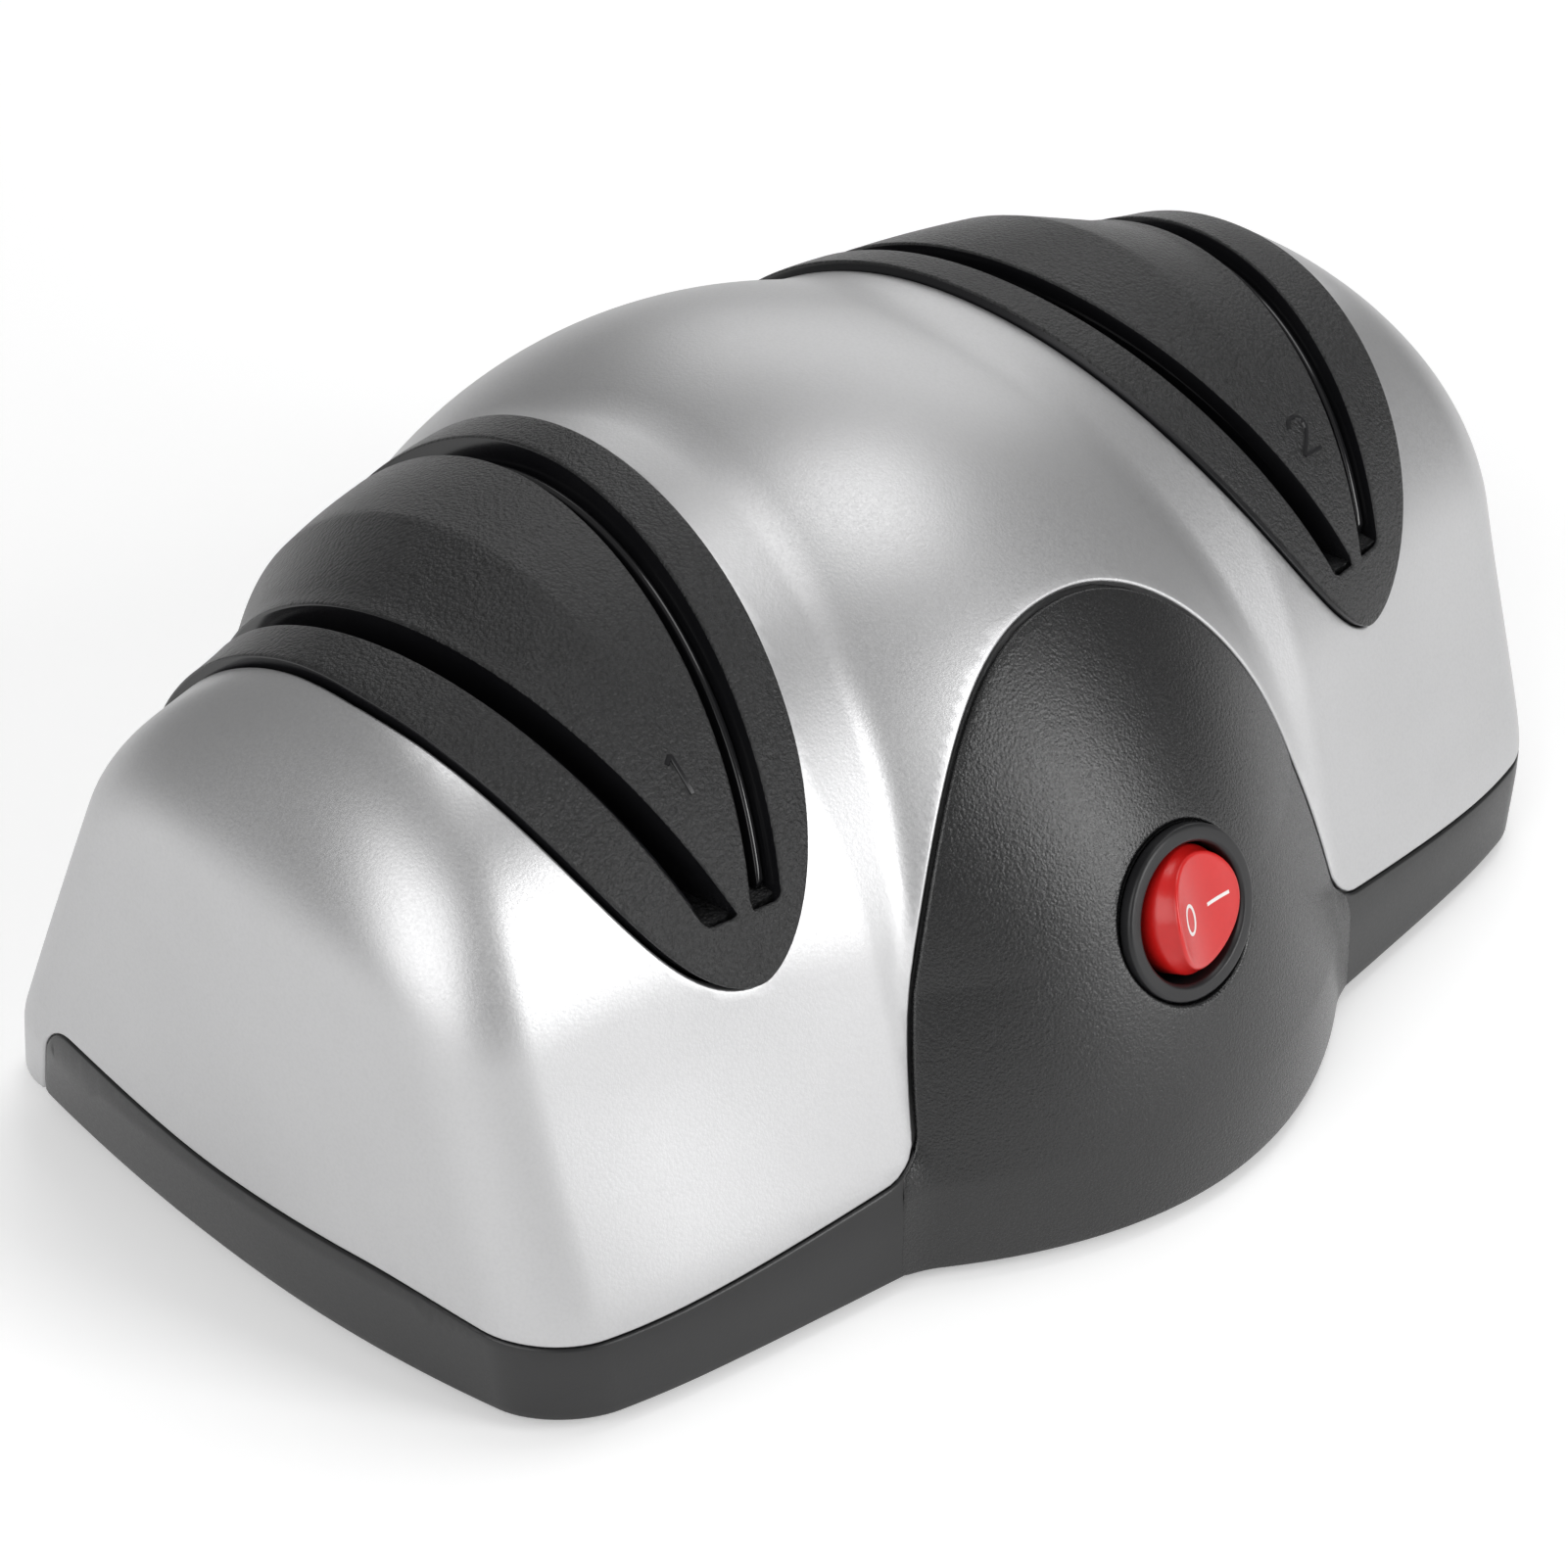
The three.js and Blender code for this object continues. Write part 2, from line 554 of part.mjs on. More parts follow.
function bulgeHalf(z) {
  const share = ((z - FOOT_HEIGHT) / BULGE_HEIGHT) ** BULGE_POWER;
  return CREASE_X * Math.max(0, 1 - share) ** (1 / BULGE_POWER);
}

const BULGE_RINGS = 12;
const BULGE_STEPS = 14;
const BULGE_TOP_SHARE = 0.97;    // the last ring stops just short of the crown
const THIN = 0.4;                // least half width of a ring
// The bulge as a solid: level sections, each an arc between the two edges of the arch.
function bulge(shrink, back, foot) {
  const rings = range(BULGE_RINGS + 1, (k) => {
    const share = Math.sin((k / BULGE_RINGS) * BULGE_TOP_SHARE * Math.PI / 2);
    const z = mix(FOOT_HEIGHT, FOOT_HEIGHT + BULGE_HEIGHT - shrink, share);
    const level = k === 0 ? foot : z;
    const outline = bulgeHalf(z);
    const half = Math.max(THIN, outline - GAP / 2 - shrink);
    const edge = frontFace(outline, z);
    const sag = Math.max(0, edge - bulgeFront(z));
    const arc = range(BULGE_STEPS + 1, (i) => {
      const s = mix(-1, 1, i / BULGE_STEPS);
      return V(s * half, edge - sag * (1 - s * s) + shrink, level);
    });
    return [...arc, V(half, edge + back, level), V(-half, edge + back, level)];
  });
  return loft(rings);
}

const ARCH_STEPS = 24;
// The arch cut out of the shell, seen from the front.
function archWindow() {
  const power = (v) => Math.sign(v) * Math.abs(v) ** (2 / BULGE_POWER);
  const half = CREASE_X + GAP / 2;
  const outline = range(ARCH_STEPS + 1, (i) => {
    const t = (i / ARCH_STEPS) * Math.PI;
    return [half * power(Math.cos(t)), FOOT_HEIGHT + (BULGE_HEIGHT + GAP) * power(Math.sin(t))];
  });
  outline.push([-half, -FOOT_HEIGHT], [half, -FOOT_HEIGHT]);
  return extruded(outline, 0, FAR).rotate([90, 0, 0]);
}

// Half widths of the leaf at an angle from the vertical: towards the dome and the lobe end.
function leafHalves(t) {
  const closing = (from, to, [power, share]) =>
    Math.max(0, 1 - clamp01((t - from) / (to - from)) ** power) ** share;
  const back = closing(LEAF_CLOSE_BACK, LEAF_BACK, LEAF_BACK_BEND);
  return [LEAF_INNER * closing(LEAF_WIDE_INNER, LEAF_TIP, LEAF_INNER_BEND) * back,
    LEAF_OUTER * closing(LEAF_WIDE_OUTER, LEAF_TIP, LEAF_OUTER_BEND) * back];
}

const LEAF_STEPS = 22;
// A fan-shaped cutter round the leaf axis with the leaf's outline, grown by `grow`, from the
// distance `near` of the axis outwards.
function leaf(grow, near) {
  const reach = grow / (ARCH_TOP - LEAF_AXIS_Z);
  const rings = range(LEAF_STEPS + 1, (i) => {
    const c = -Math.cos((i / LEAF_STEPS) * Math.PI);
    const angle = mix(LEAF_BACK, LEAF_TIP, (c + 1) / 2);
    const [towardsDome, towardsEnd] = leafHalves(angle).map((w) => Math.max(THIN, w + grow));
    const turn = angle + reach * c;
    const at = (x, r) => V(x, LEAF_AXIS_Y - r * Math.sin(turn), LEAF_AXIS_Z + r * Math.cos(turn));
    const [a, b] = [STAGE_X - towardsDome, STAGE_X + towardsEnd];
    return [at(a, near), at(b, near), at(b, LEAF_REACH), at(a, LEAF_REACH)];
  });
  return loft(rings);
}

// A slanted slab beside the middle of the right stage, between two distances from the middle of
// the slot; `side` is +1 outwards, -1 inwards.
function slab(side, near, far) {
  const middle = (y, z) => SLOT_OFFSET + SLOT_YAW * (y - SLOT_FRONT_Y) + SLOT_SLANT * (z - SLOT_FLOOR_Z);
  const at = (y, z, o) => V(STAGE_X + side * (middle(y, z) + o), y, z);
  const rings = [-FAR, FAR].map((y) => [at(y, SLOT_FLOOR_Z, near), at(y, SLOT_FLOOR_Z, far),
    at(y, FAR, far), at(y, FAR, near)]);
  return loft(rings);
}

// The product as a scene: housing pieces lie in the frame of the product, drive pieces in a group
// on the axle, switch pieces in a group on the tilted seat.
const part = new THREE.Group();
part.name = 'electric_knife_sharpener';
const drive = new THREE.Group();
drive.position.set(0, AXLE_Y, AXLE_Z);
drive.rotation.y = Math.PI / 2;
const switchUnit = new THREE.Group();
switchUnit.position.set(0, SWITCH_Y, SWITCH_Z);
switchUnit.rotation.x = Math.PI / 2 - SWITCH_TILT;
part.add(drive, switchUnit);

function add(group, name, shape, material, at = [0, 0, 0]) {
  const m = shape.getMesh();
  const geometry = new THREE.BufferGeometry();
  geometry.setAttribute('position', new THREE.Float32BufferAttribute(m.vertProperties, 3));
  geometry.setIndex(Array.from(m.triVerts));
  geometry.computeVertexNormals();
  const [color, roughness, metalness] = MATERIALS[material];
  const finish = new THREE.MeshStandardMaterial({ color, roughness, metalness });
  const mesh = new THREE.Mesh(geometry, finish);
  mesh.name = name;
  mesh.position.set(...at);
  group.add(mesh);
  return mesh;
}

// Corners where the same piece comes four times.
const corners = (x, front, back) => [
  ['front_right', x, front], ['front_left', -x, front], ['back_right', x, back], ['back_left', -x, back],
];
const bossPlaces = corners(BOSS_X, BOSS_FRONT_Y, BOSS_BACK_Y);
const footPlaces = corners(FOOT_X, FOOT_FRONT_Y, FOOT_BACK_Y);
const clampPlaces = corners(CRADLE_X, AXLE_Y - CLAMP_SCREW_Y, AXLE_Y + CLAMP_SCREW_Y);
const boardPostX = BOARD_WIDTH / 2 - BOARD_POST_INSET;
const boardPostY = BOARD_DEPTH / 2 - BOARD_POST_INSET;
const boardPlaces = [
  ['right', boardPostX, BOARD_Y - boardPostY], ['left', -boardPostX, BOARD_Y + boardPostY],
];
const everywhere = (places, s) => join(...places.map(([, x, y]) => moved(s, x, y, 0)));

const outer = form(0, FOOT_HEIGHT);
const inner = form(-WALL, -FOOT_HEIGHT);
const floorTop = FOOT_HEIGHT + WALL;
const glandArch = archAt(GLAND_X);
const glandY = section(GLAND_X, 0)[1][0] - (GLAND_Z - KNEE_Z) * Math.tan(glandArch.lean);
const atGland = (s) => moved(s.rotate([-90, 0, 0]), GLAND_X, glandY, GLAND_Z);
const screwHole = SCREW_RADIUS + GAP;

// Upper shell: dome, collars and lobes, open below, with the arch and both leaves cut out.
function upperShell() {
  const open = cut(outer, inner, archWindow(), underParting(GAP / 2), bothSides(leaf(GAP / 2, LEAF_NEAR)));
  const bosses = common(everywhere(bossPlaces, rod(BOSS_RADIUS, BOSS_SPLIT_Z, FAR)),
    form(-WALL / 2, FOOT_HEIGHT));
  const pilots = everywhere(bossPlaces, rod(screwHole, -OVER, BOSS_SPLIT_Z + BOSS_PILOT_DEPTH));
  const pad = atGland(rod(GLAND_PAD_RADIUS, -GLAND_PAD_DEPTH, GLAND_SEAT, MEDIUM_ROUND));
  const glandHole = atGland(join(rod(GLAND_FLANGE + GAP, GLAND_SEAT, FAR, MEDIUM_ROUND),
    rod(GLAND_RADIUS + GAP, -GLAND_PAD_DEPTH - OVER, FAR, MEDIUM_ROUND)));
  return cut(join(open, bosses, pad), pilots, glandHole);
}
add(part, 'upper_shell', upperShell(), 'silverPaint');

// Blocks that carry the motor and the outer bearings, open above the axle.
function bearers() {
  const block = (x, halfX, halfY, top) =>
    box(x - halfX, AXLE_Y - halfY, FOOT_HEIGHT + OVER, x + halfX, AXLE_Y + halfY, top);
  const saddle = cut(block(CRADLE_X, CRADLE_THICKNESS / 2, CRADLE_HALF_WIDTH, AXLE_Z - GAP),
    onAxle(rod(CASE_RADIUS + GAP, -FAR, FAR, ROUND)));
  const outboard = cut(block(OUTBOARD_X, OUTBOARD_LENGTH / 2, OUTBOARD_BLOCK_HALF, AXLE_Z),
    onAxle(rod(OUTBOARD_RADIUS + GAP, -FAR, FAR, MEDIUM_ROUND)));
  return bothSides(join(saddle, outboard));
}

function housingHoles() {
  const bossHole = join(rod(screwHole, -OVER, FAR),
    rod(SCREW_HEAD_RADIUS + GAP, -OVER, FOOT_HEIGHT + SCREW_SINK + SCREW_HEAD_HEIGHT + GAP));
  const footHole = rod(FOOT_RADIUS + GAP, -OVER, FOOT_HEIGHT + FOOT_RECESS + GAP, MEDIUM_ROUND);
  const vent = box(-VENT_WIDTH / 2, VENT_FRONT_Y, -OVER, VENT_WIDTH / 2, VENT_FRONT_Y + VENT_LENGTH,
    floorTop + OVER);
  const vents = range(VENT_COUNT, (i) => moved(vent, (i - (VENT_COUNT - 1) / 2) * VENT_PITCH, 0, 0));
  const clampHole = rod(screwHole, AXLE_Z - CLAMP_SCREW_LENGTH, FAR);
  const boardHole = rod(screwHole, BOARD_Z - BOARD_SCREW_LENGTH, FAR);
  const seat = join(rod(SWITCH_BODY_RADIUS + GAP, -2 * SWITCH_BODY_DEPTH, OVER, ROUND),
    rod(SEAT_RADIUS, 0, SEAT_RADIUS, ROUND));
  const tilt = THREE.MathUtils.radToDeg(switchUnit.rotation.x);
  return join(everywhere(bossPlaces, bossHole), everywhere(footPlaces, footHole), ...vents,
    everywhere(clampPlaces, clampHole), everywhere(boardPlaces, boardHole),
    moved(seat.rotate([tilt, 0, 0]), 0, SWITCH_Y, SWITCH_Z));
}

// Lower housing: floor, skirt and front bulge in one moulding.
function lowerHousing() {
  const level = box(-FAR, -FAR, FOOT_HEIGHT, FAR, FAR, floorTop);
  const behindBulge = box(-CREASE_X + GAP, -FAR, -FOOT_HEIGHT, CREASE_X - GAP, 0, FAR);
  const skirt = cut(common(underParting(-GAP / 2), outer), inner, behindBulge);
  const floor = join(common(form(-WALL - GAP, FOOT_HEIGHT), level),
    common(form(-WALL / 2, FOOT_HEIGHT), level, underParting(-WALL)));
  const front = bulge(0, BULGE_LIP, FOOT_HEIGHT);
  const hollow = bulge(BULGE_WALL, BULGE_HEIGHT / 2, -FOOT_HEIGHT);
  const posts = join(everywhere(bossPlaces, rod(POST_RADIUS, FOOT_HEIGHT, BOSS_SPLIT_Z - GAP)),
    everywhere(boardPlaces, rod(BOARD_POST_RADIUS, FOOT_HEIGHT, BOARD_Z - GAP)));
  const whole = join(skirt, floor, cut(front, hollow), common(front, level), posts, bearers());
  return cut(whole, housingHoles());
}
add(part, 'lower_housing', lowerHousing(), 'blackPlastic');

// Guide insert of the right stage: a leaf-shaped cover with two knife slots over a guide block.
function guideInsert() {
  const layer = cut(form(LEAF_PROUD, FOOT_HEIGHT), form(-WALL - LEAF_DEPTH, -FOOT_HEIGHT));
  const cover = common(layer, leaf(-GAP / 2, LEAF_NEAR));
  const block = common(form(-WALL - BLOCK_CLEARANCE, FOOT_HEIGHT), leaf(-BLOCK_INSET, BLOCK_NEAR),
    box(STAGE_X - BLOCK_HALF_WIDTH, -FAR, BLOCK_FLOOR_Z, STAGE_X + BLOCK_HALF_WIDTH, FAR, FAR));
  const pocket = box(STAGE_X - POCKET_HALF_WIDTH, AXLE_Y - POCKET_HALF_DEPTH, 0,
    STAGE_X + POCKET_HALF_WIDTH, AXLE_Y + POCKET_HALF_DEPTH, POCKET_TOP_Z);
  const half = SLOT_WIDTH / 2;
  return cut(join(cover, block), pocket, slab(1, -half, half), slab(-1, -half, half));
}
const insert = guideInsert();
add(part, 'right_guide_insert', insert, 'blackPlastic');
add(part, 'left_guide_insert', mirrored(insert), 'blackPlastic');

// Arched rails on the outer wall of each slot, which the blade slides along.
function bladeRail(side) {
  const far = SLOT_WIDTH / 2 - GAP;
  const aboveFloor = box(-FAR, -FAR, SLOT_FLOOR_Z + GAP, FAR, FAR, FAR);
  return common(slab(side, far - RAIL_THICKNESS, far), form(-RAIL_DEPTH, FOOT_HEIGHT), aboveFloor);
}
[['outer', 1], ['inner', -1]].forEach(([name, side]) => {
  const rail = bladeRail(side);
  add(part, `right_${name}_rail`, rail, 'glossBlack');
  add(part, `left_${name}_rail`, mirrored(rail), 'glossBlack');
});

// Two dished discs back to back on a flanged hub, in each stage.
function dishedDisc() {
  const flank = (r) => DISC_ROOT + SLOT_SLANT * (r - DISC_BORE);
  const shoulder = DISC_RADIUS - DISC_CHAMFER;
  return turned([[DISC_BORE, flank(DISC_BORE)], [shoulder, flank(shoulder)],
    [DISC_RADIUS, flank(DISC_RADIUS) + DISC_CHAMFER / 2],
    [DISC_RADIUS, flank(DISC_RADIUS) + DISC_THICKNESS],
    [DISC_BORE, flank(DISC_BORE) + DISC_THICKNESS]], DISC_FACETS);
}

function flangedHub() {
  const bore = SHAFT_RADIUS + GAP;
  return join(ring(bore, HUB_RADIUS, -HUB_HALF_LENGTH, HUB_HALF_LENGTH, MEDIUM_ROUND),
    ring(bore, HUB_FLANGE_RADIUS, -HUB_FLANGE_HALF, HUB_FLANGE_HALF, MEDIUM_ROUND));
}

const disc = dishedDisc();
const hub = flangedHub();
const nut = cut(rod(NUT_ACROSS_CORNERS / 2, 0, NUT_HEIGHT, NUT_SIDES),
  rod(SHAFT_RADIUS + GAP, -OVER, NUT_HEIGHT + OVER));
[['coarse', -1], ['fine', 1]].forEach(([name, side]) => {
  const at = [0, 0, side * STAGE_X];
  add(drive, `${name}_disc_outer`, side > 0 ? disc : flipped(disc), `${name}Grit`, at);
  add(drive, `${name}_disc_inner`, side > 0 ? flipped(disc) : disc, `${name}Grit`, at);
  add(drive, `${name}_hub`, hub, 'steel', at);
  add(drive, `${name}_nut`, side > 0 ? nut : flipped(nut), 'steel',
    [0, 0, side * (STAGE_X + HUB_HALF_LENGTH + GAP)]);
});

// Motor with a through shaft.
const coilStart = CORE_HALF_LENGTH + GAP;
const commutatorStart = coilStart + COIL_LENGTH + GAP;
const bellStart = CASE_HALF_LENGTH + GAP;
const brushStart = commutatorStart + (COMMUTATOR_LENGTH - BRUSH_WIDTH) / 2;

function magnet() {
  const outside = CASE_RADIUS - CASE_WALL - GAP;
  const arc = (r, from, to) => range(MAGNET_STEPS + 1, (i) => {
    const t = mix(from, to, i / MAGNET_STEPS);
    return [r * Math.sin(t), r * Math.cos(t)];
  });
  const half = MAGNET_ARC / 2;
  return extruded([...arc(outside, -half, half), ...arc(outside - MAGNET_THICKNESS, half, -half)],
    -MAGNET_HALF_LENGTH, MAGNET_HALF_LENGTH);
}

// Slots or bars round the armature; `narrower` is taken off each flank.
function armatureSlots(narrower, outside, halfLength) {
  const half = CORE_SLOT_WIDTH / 2 - narrower;
  const one = box(CORE_RADIUS - CORE_SLOT_DEPTH + narrower, -half, -halfLength, outside, half, halfLength);
  return join(...range(CORE_POLES, (i) => one.rotate([0, 0, (i * 360) / CORE_POLES])));
}

function armatureCore() {
  return cut(ring(SHAFT_RADIUS + GAP, CORE_RADIUS, -CORE_HALF_LENGTH, CORE_HALF_LENGTH),
    armatureSlots(0, FAR, FAR));
}

function windings() {
  const bore = SHAFT_RADIUS + GAP;
  const end = turned([[bore, coilStart], [COIL_RADIUS, coilStart],
    [COIL_RADIUS - GAP, coilStart + COIL_LENGTH * COIL_SHOULDER_SHARE],
    [COIL_RADIUS - COIL_CHAMFER, coilStart + COIL_LENGTH], [bore, coilStart + COIL_LENGTH]], MEDIUM_ROUND);
  return join(end, flipped(end), armatureSlots(GAP, COIL_RADIUS - OVER, coilStart + OVER));
}

function bell() {
  const bore = BUSH_RADIUS + GAP;
  return join(ring(bore, CASE_RADIUS - BELL_INSET, bellStart, bellStart + BELL_THICKNESS),
    ring(bore, BUSH_RADIUS + BUSH_SEAT_WALL, bellStart, bellStart + BUSH_LENGTH, MEDIUM_ROUND));
}

function brushHolder() {
  const half = BRUSH_WIDTH / 2 + GAP;
  const wall = half + BRUSH_HOLDER_WALL;
  const inside = COMMUTATOR_RADIUS + 2 * OVER;
  const outside = CASE_RADIUS - CASE_WALL - OVER;
  const block = box(-wall, inside, brushStart - GAP - BRUSH_HOLDER_WALL, wall, outside, bellStart + OVER);
  const room = box(-half, 0, brushStart - GAP, half, inside + BRUSH_LENGTH, brushStart + BRUSH_WIDTH + GAP);
  return cut(block, room);
}

function fan() {
  const bore = SHAFT_RADIUS + GAP;
  const root = (bore + FAN_HUB_RADIUS) / 2;
  const blade = box(root, -FAN_BLADE_THICKNESS / 2, 0, FAN_RADIUS, FAN_BLADE_THICKNESS / 2, FAN_LENGTH);
  return join(ring(bore, FAN_RADIUS, 0, FAN_BLADE_THICKNESS, MEDIUM_ROUND),
    ring(bore, FAN_HUB_RADIUS, 0, FAN_LENGTH, MEDIUM_ROUND),
    ...range(FAN_BLADES, (i) => blade.rotate([0, 0, (i * 360) / FAN_BLADES])));
}

const turnedRound = (s) => s.rotate([0, 0, 180]);
const shaftEnd = OUTBOARD_X + SHAFT_END;
add(drive, 'motor_shaft', rod(SHAFT_RADIUS, -shaftEnd, shaftEnd), 'steel');
add(drive, 'motor_case',
  ring(CASE_RADIUS - CASE_WALL, CASE_RADIUS, -CASE_HALF_LENGTH, CASE_HALF_LENGTH), 'darkSteel');
add(drive, 'back_magnet', magnet(), 'magnet');
add(drive, 'front_magnet', turnedRound(magnet()), 'magnet');
add(drive, 'armature_core', armatureCore(), 'darkSteel');
add(drive, 'armature_windings', windings(), 'copper');
const onShaft = (radius, h0, h1) => ring(SHAFT_RADIUS + GAP, radius, h0, h1, MEDIUM_ROUND);
add(drive, 'commutator', onShaft(COMMUTATOR_RADIUS, 0, COMMUTATOR_LENGTH), 'copper',
  [0, 0, commutatorStart]);
add(drive, 'motor_left_bell', flipped(bell()), 'darkSteel');
add(drive, 'motor_brush_bell', join(bell(), brushHolder(), turnedRound(brushHolder())), 'nylon');
const brush = box(-BRUSH_WIDTH / 2, COMMUTATOR_RADIUS + GAP, 0,
  BRUSH_WIDTH / 2, COMMUTATOR_RADIUS + BRUSH_LENGTH, BRUSH_WIDTH);
add(drive, 'back_carbon_brush', brush, 'carbon', [0, 0, brushStart]);
add(drive, 'front_carbon_brush', turnedRound(brush), 'carbon', [0, 0, brushStart]);
const motorBush = onShaft(BUSH_RADIUS, 0, BUSH_LENGTH);
const outboardBush = onShaft(OUTBOARD_RADIUS, -OUTBOARD_LENGTH / 2, OUTBOARD_LENGTH / 2);
[['right', 1], ['left', -1]].forEach(([name, side]) => {
  add(drive, `motor_${name}_bush`, side > 0 ? motorBush : flipped(motorBush), 'bronze',
    [0, 0, side * bellStart]);
  add(drive, `${name}_outboard_bush`, outboardBush, 'bronze', [0, 0, side * OUTBOARD_X]);
});
add(drive, 'cooling_fan', flipped(fan()), 'nylon', [0, 0, -(bellStart + BUSH_LENGTH + GAP)]);

// A strap over the motor, with an ear on the saddle at each side.
function motorClamp() {
  const inside = CASE_RADIUS + GAP;
  const half = CRADLE_THICKNESS / 2;
  const upper = box(-half, -FAR, 0, half, FAR, FAR);
  const hoop = common(ring(inside, inside + CLAMP_THICKNESS, -half, half).rotate([0, 90, 0]), upper);
  const strap = box(-half, -inside - CLAMP_EAR, 0, half, inside + CLAMP_EAR, CLAMP_THICKNESS);
  const hole = rod(screwHole, -OVER, CLAMP_THICKNESS + OVER);
  return cut(join(hoop, cut(strap, rod(inside, -FAR, FAR, ROUND).rotate([0, 90, 0]))),
    moved(hole, 0, CLAMP_SCREW_Y, 0), moved(hole, 0, -CLAMP_SCREW_Y, 0));
}
add(part, 'right_motor_clamp', motorClamp(), 'steel', [CRADLE_X, AXLE_Y, AXLE_Z]);
add(part, 'left_motor_clamp', motorClamp(), 'steel', [-CRADLE_X, AXLE_Y, AXLE_Z]);

// Screws point down from the underside of their head.
function screw(length) {
  const head = rod(SCREW_HEAD_RADIUS, 0, SCREW_HEAD_HEIGHT);
  return join(head, rod(SCREW_RADIUS, -length, SCREW_HEAD_HEIGHT / 2));
}
clampPlaces.forEach(([name, x, y]) => {
  add(part, `clamp_screw_${name}`, screw(CLAMP_SCREW_LENGTH), 'steel',
    [x, y, AXLE_Z + CLAMP_THICKNESS + GAP]);
});
bossPlaces.forEach(([name, x, y]) => {
  const head = FOOT_HEIGHT + SCREW_SINK + SCREW_HEAD_HEIGHT;
  add(part, `housing_screw_${name}`, flipped(screw(SCREW_LENGTH)), 'steel', [x, y, head]);
});

// Switch: a round snap-in body with a rocker and two blade terminals.
function switchBody() {
  const bezel = turned([[0, GAP], [BEZEL_RADIUS, GAP], [BEZEL_RADIUS, GAP + BEZEL_EDGE_HEIGHT],
    [BEZEL_RADIUS - BEZEL_CHAMFER, GAP + BEZEL_HEIGHT], [0, GAP + BEZEL_HEIGHT]], ROUND);
  return cut(join(bezel, rod(SWITCH_BODY_RADIUS, -SWITCH_BODY_DEPTH, GAP + OVER, ROUND)),
    rod(SWITCH_BORE, -SWITCH_BORE_DEPTH, FAR, ROUND));
}

function rocker() {
  const halfSide = [[ROCKER_FOOT_HALF, ROCKER_FOOT], [ROCKER_RADIUS, ROCKER_WAIST],
    [ROCKER_RADIUS, ROCKER_SHOULDER], [ROCKER_TOP_HALF, ROCKER_EDGE],
    [ROCKER_TOP_HALF / 2, ROCKER_QUARTER]];
  const otherHalf = halfSide.map(([x, z]) => [-x, z]).reverse();
  const side = [...halfSide, [0, ROCKER_MIDDLE], ...otherHalf];
  const block = extruded(side, -ROCKER_RADIUS, ROCKER_RADIUS).rotate([90, 0, 0]);
  const plan = turned([[0, ROCKER_FOOT], [ROCKER_RADIUS, ROCKER_FOOT], [ROCKER_RADIUS, ROCKER_SHOULDER],
    [ROCKER_TOP_HALF, ROCKER_EDGE], [0, ROCKER_EDGE]], ROUND);
  return moved(common(block, plan), 0, 0, -ROCKER_PIVOT);
}
add(switchUnit, 'switch_body', switchBody(), 'glossBlack');
add(switchUnit, 'switch_rocker', rocker(), 'redPlastic', [0, 0, ROCKER_PIVOT]).rotation.y = ROCKER_THROW;
const terminalTop = -SWITCH_BODY_DEPTH - GAP;
const terminal = box(-TERMINAL_THICKNESS / 2, -TERMINAL_WIDTH / 2, -TERMINAL_LENGTH,
  TERMINAL_THICKNESS / 2, TERMINAL_WIDTH / 2, 0);
add(switchUnit, 'right_switch_terminal', terminal, 'brass', [TERMINAL_X, 0, terminalTop]);
add(switchUnit, 'left_switch_terminal', terminal, 'brass', [-TERMINAL_X, 0, terminalTop]);

// Rectifier board with its two large parts.
const boardTop = BOARD_Z + BOARD_THICKNESS;
function board() {
  const plate = box(-BOARD_WIDTH / 2, BOARD_Y - BOARD_DEPTH / 2, BOARD_Z,
    BOARD_WIDTH / 2, BOARD_Y + BOARD_DEPTH / 2, boardTop);
  return cut(plate, everywhere(boardPlaces, rod(screwHole, 0, FAR)));
}
add(part, 'rectifier_board', board(), 'board');
boardPlaces.forEach(([name, x, y]) => {
  add(part, `board_screw_${name}`, screw(BOARD_SCREW_LENGTH), 'steel', [x, y, boardTop + GAP]);
});
const halfBridge = BRIDGE_SIZE / 2;
const bridge = box(-halfBridge, -halfBridge, 0, halfBridge, halfBridge, BRIDGE_HEIGHT);
add(part, 'bridge_rectifier', bridge, 'carbon', [BRIDGE_X, BOARD_Y, boardTop + GAP]);
const can = turned([[0, 0], [CAPACITOR_RADIUS, 0],
  [CAPACITOR_RADIUS, CAPACITOR_HEIGHT - CAPACITOR_CHAMFER],
  [CAPACITOR_RADIUS - CAPACITOR_CHAMFER, CAPACITOR_HEIGHT], [0, CAPACITOR_HEIGHT]], MEDIUM_ROUND);
add(part, 'smoothing_capacitor', can, 'capacitorSleeve', [CAPACITOR_X, BOARD_Y, boardTop + GAP]);

// Leads from the switch to the board.
function lead(side) {
  switchUnit.updateMatrix();
  const tip = terminalTop - TERMINAL_LENGTH - GAP;
  const start = [tip, tip - LEAD_STRAIGHT].map((z) => V(TERMINAL_X, 0, z).applyMatrix4(switchUnit.matrix));
  const end = [CAPACITOR_RADIUS / 2, 0].map((rise) => V(...LEAD_END, boardTop + GAP + rise));
  const points = [...start, ...LEAD_ROUTE.map((p) => V(...p)), ...end];
  const path = new THREE.CatmullRomCurve3(points.map((p) => p.setX(side * p.x)));
  const around = range(LEAD_FACETS, (i) => {
    const t = (i / LEAD_FACETS) * 2 * Math.PI;
    return new THREE.Vector2(LEAD_RADIUS * Math.cos(t), LEAD_RADIUS * Math.sin(t));
  });
  const options = { extrudePath: path, steps: LEAD_STEPS, bevelEnabled: false };
  return solid(new THREE.ExtrudeGeometry(new THREE.Shape(around), options));
}
add(part, 'right_switch_lead', lead(1), 'leadSleeve');
add(part, 'left_switch_lead', lead(-1), 'leadSleeve');

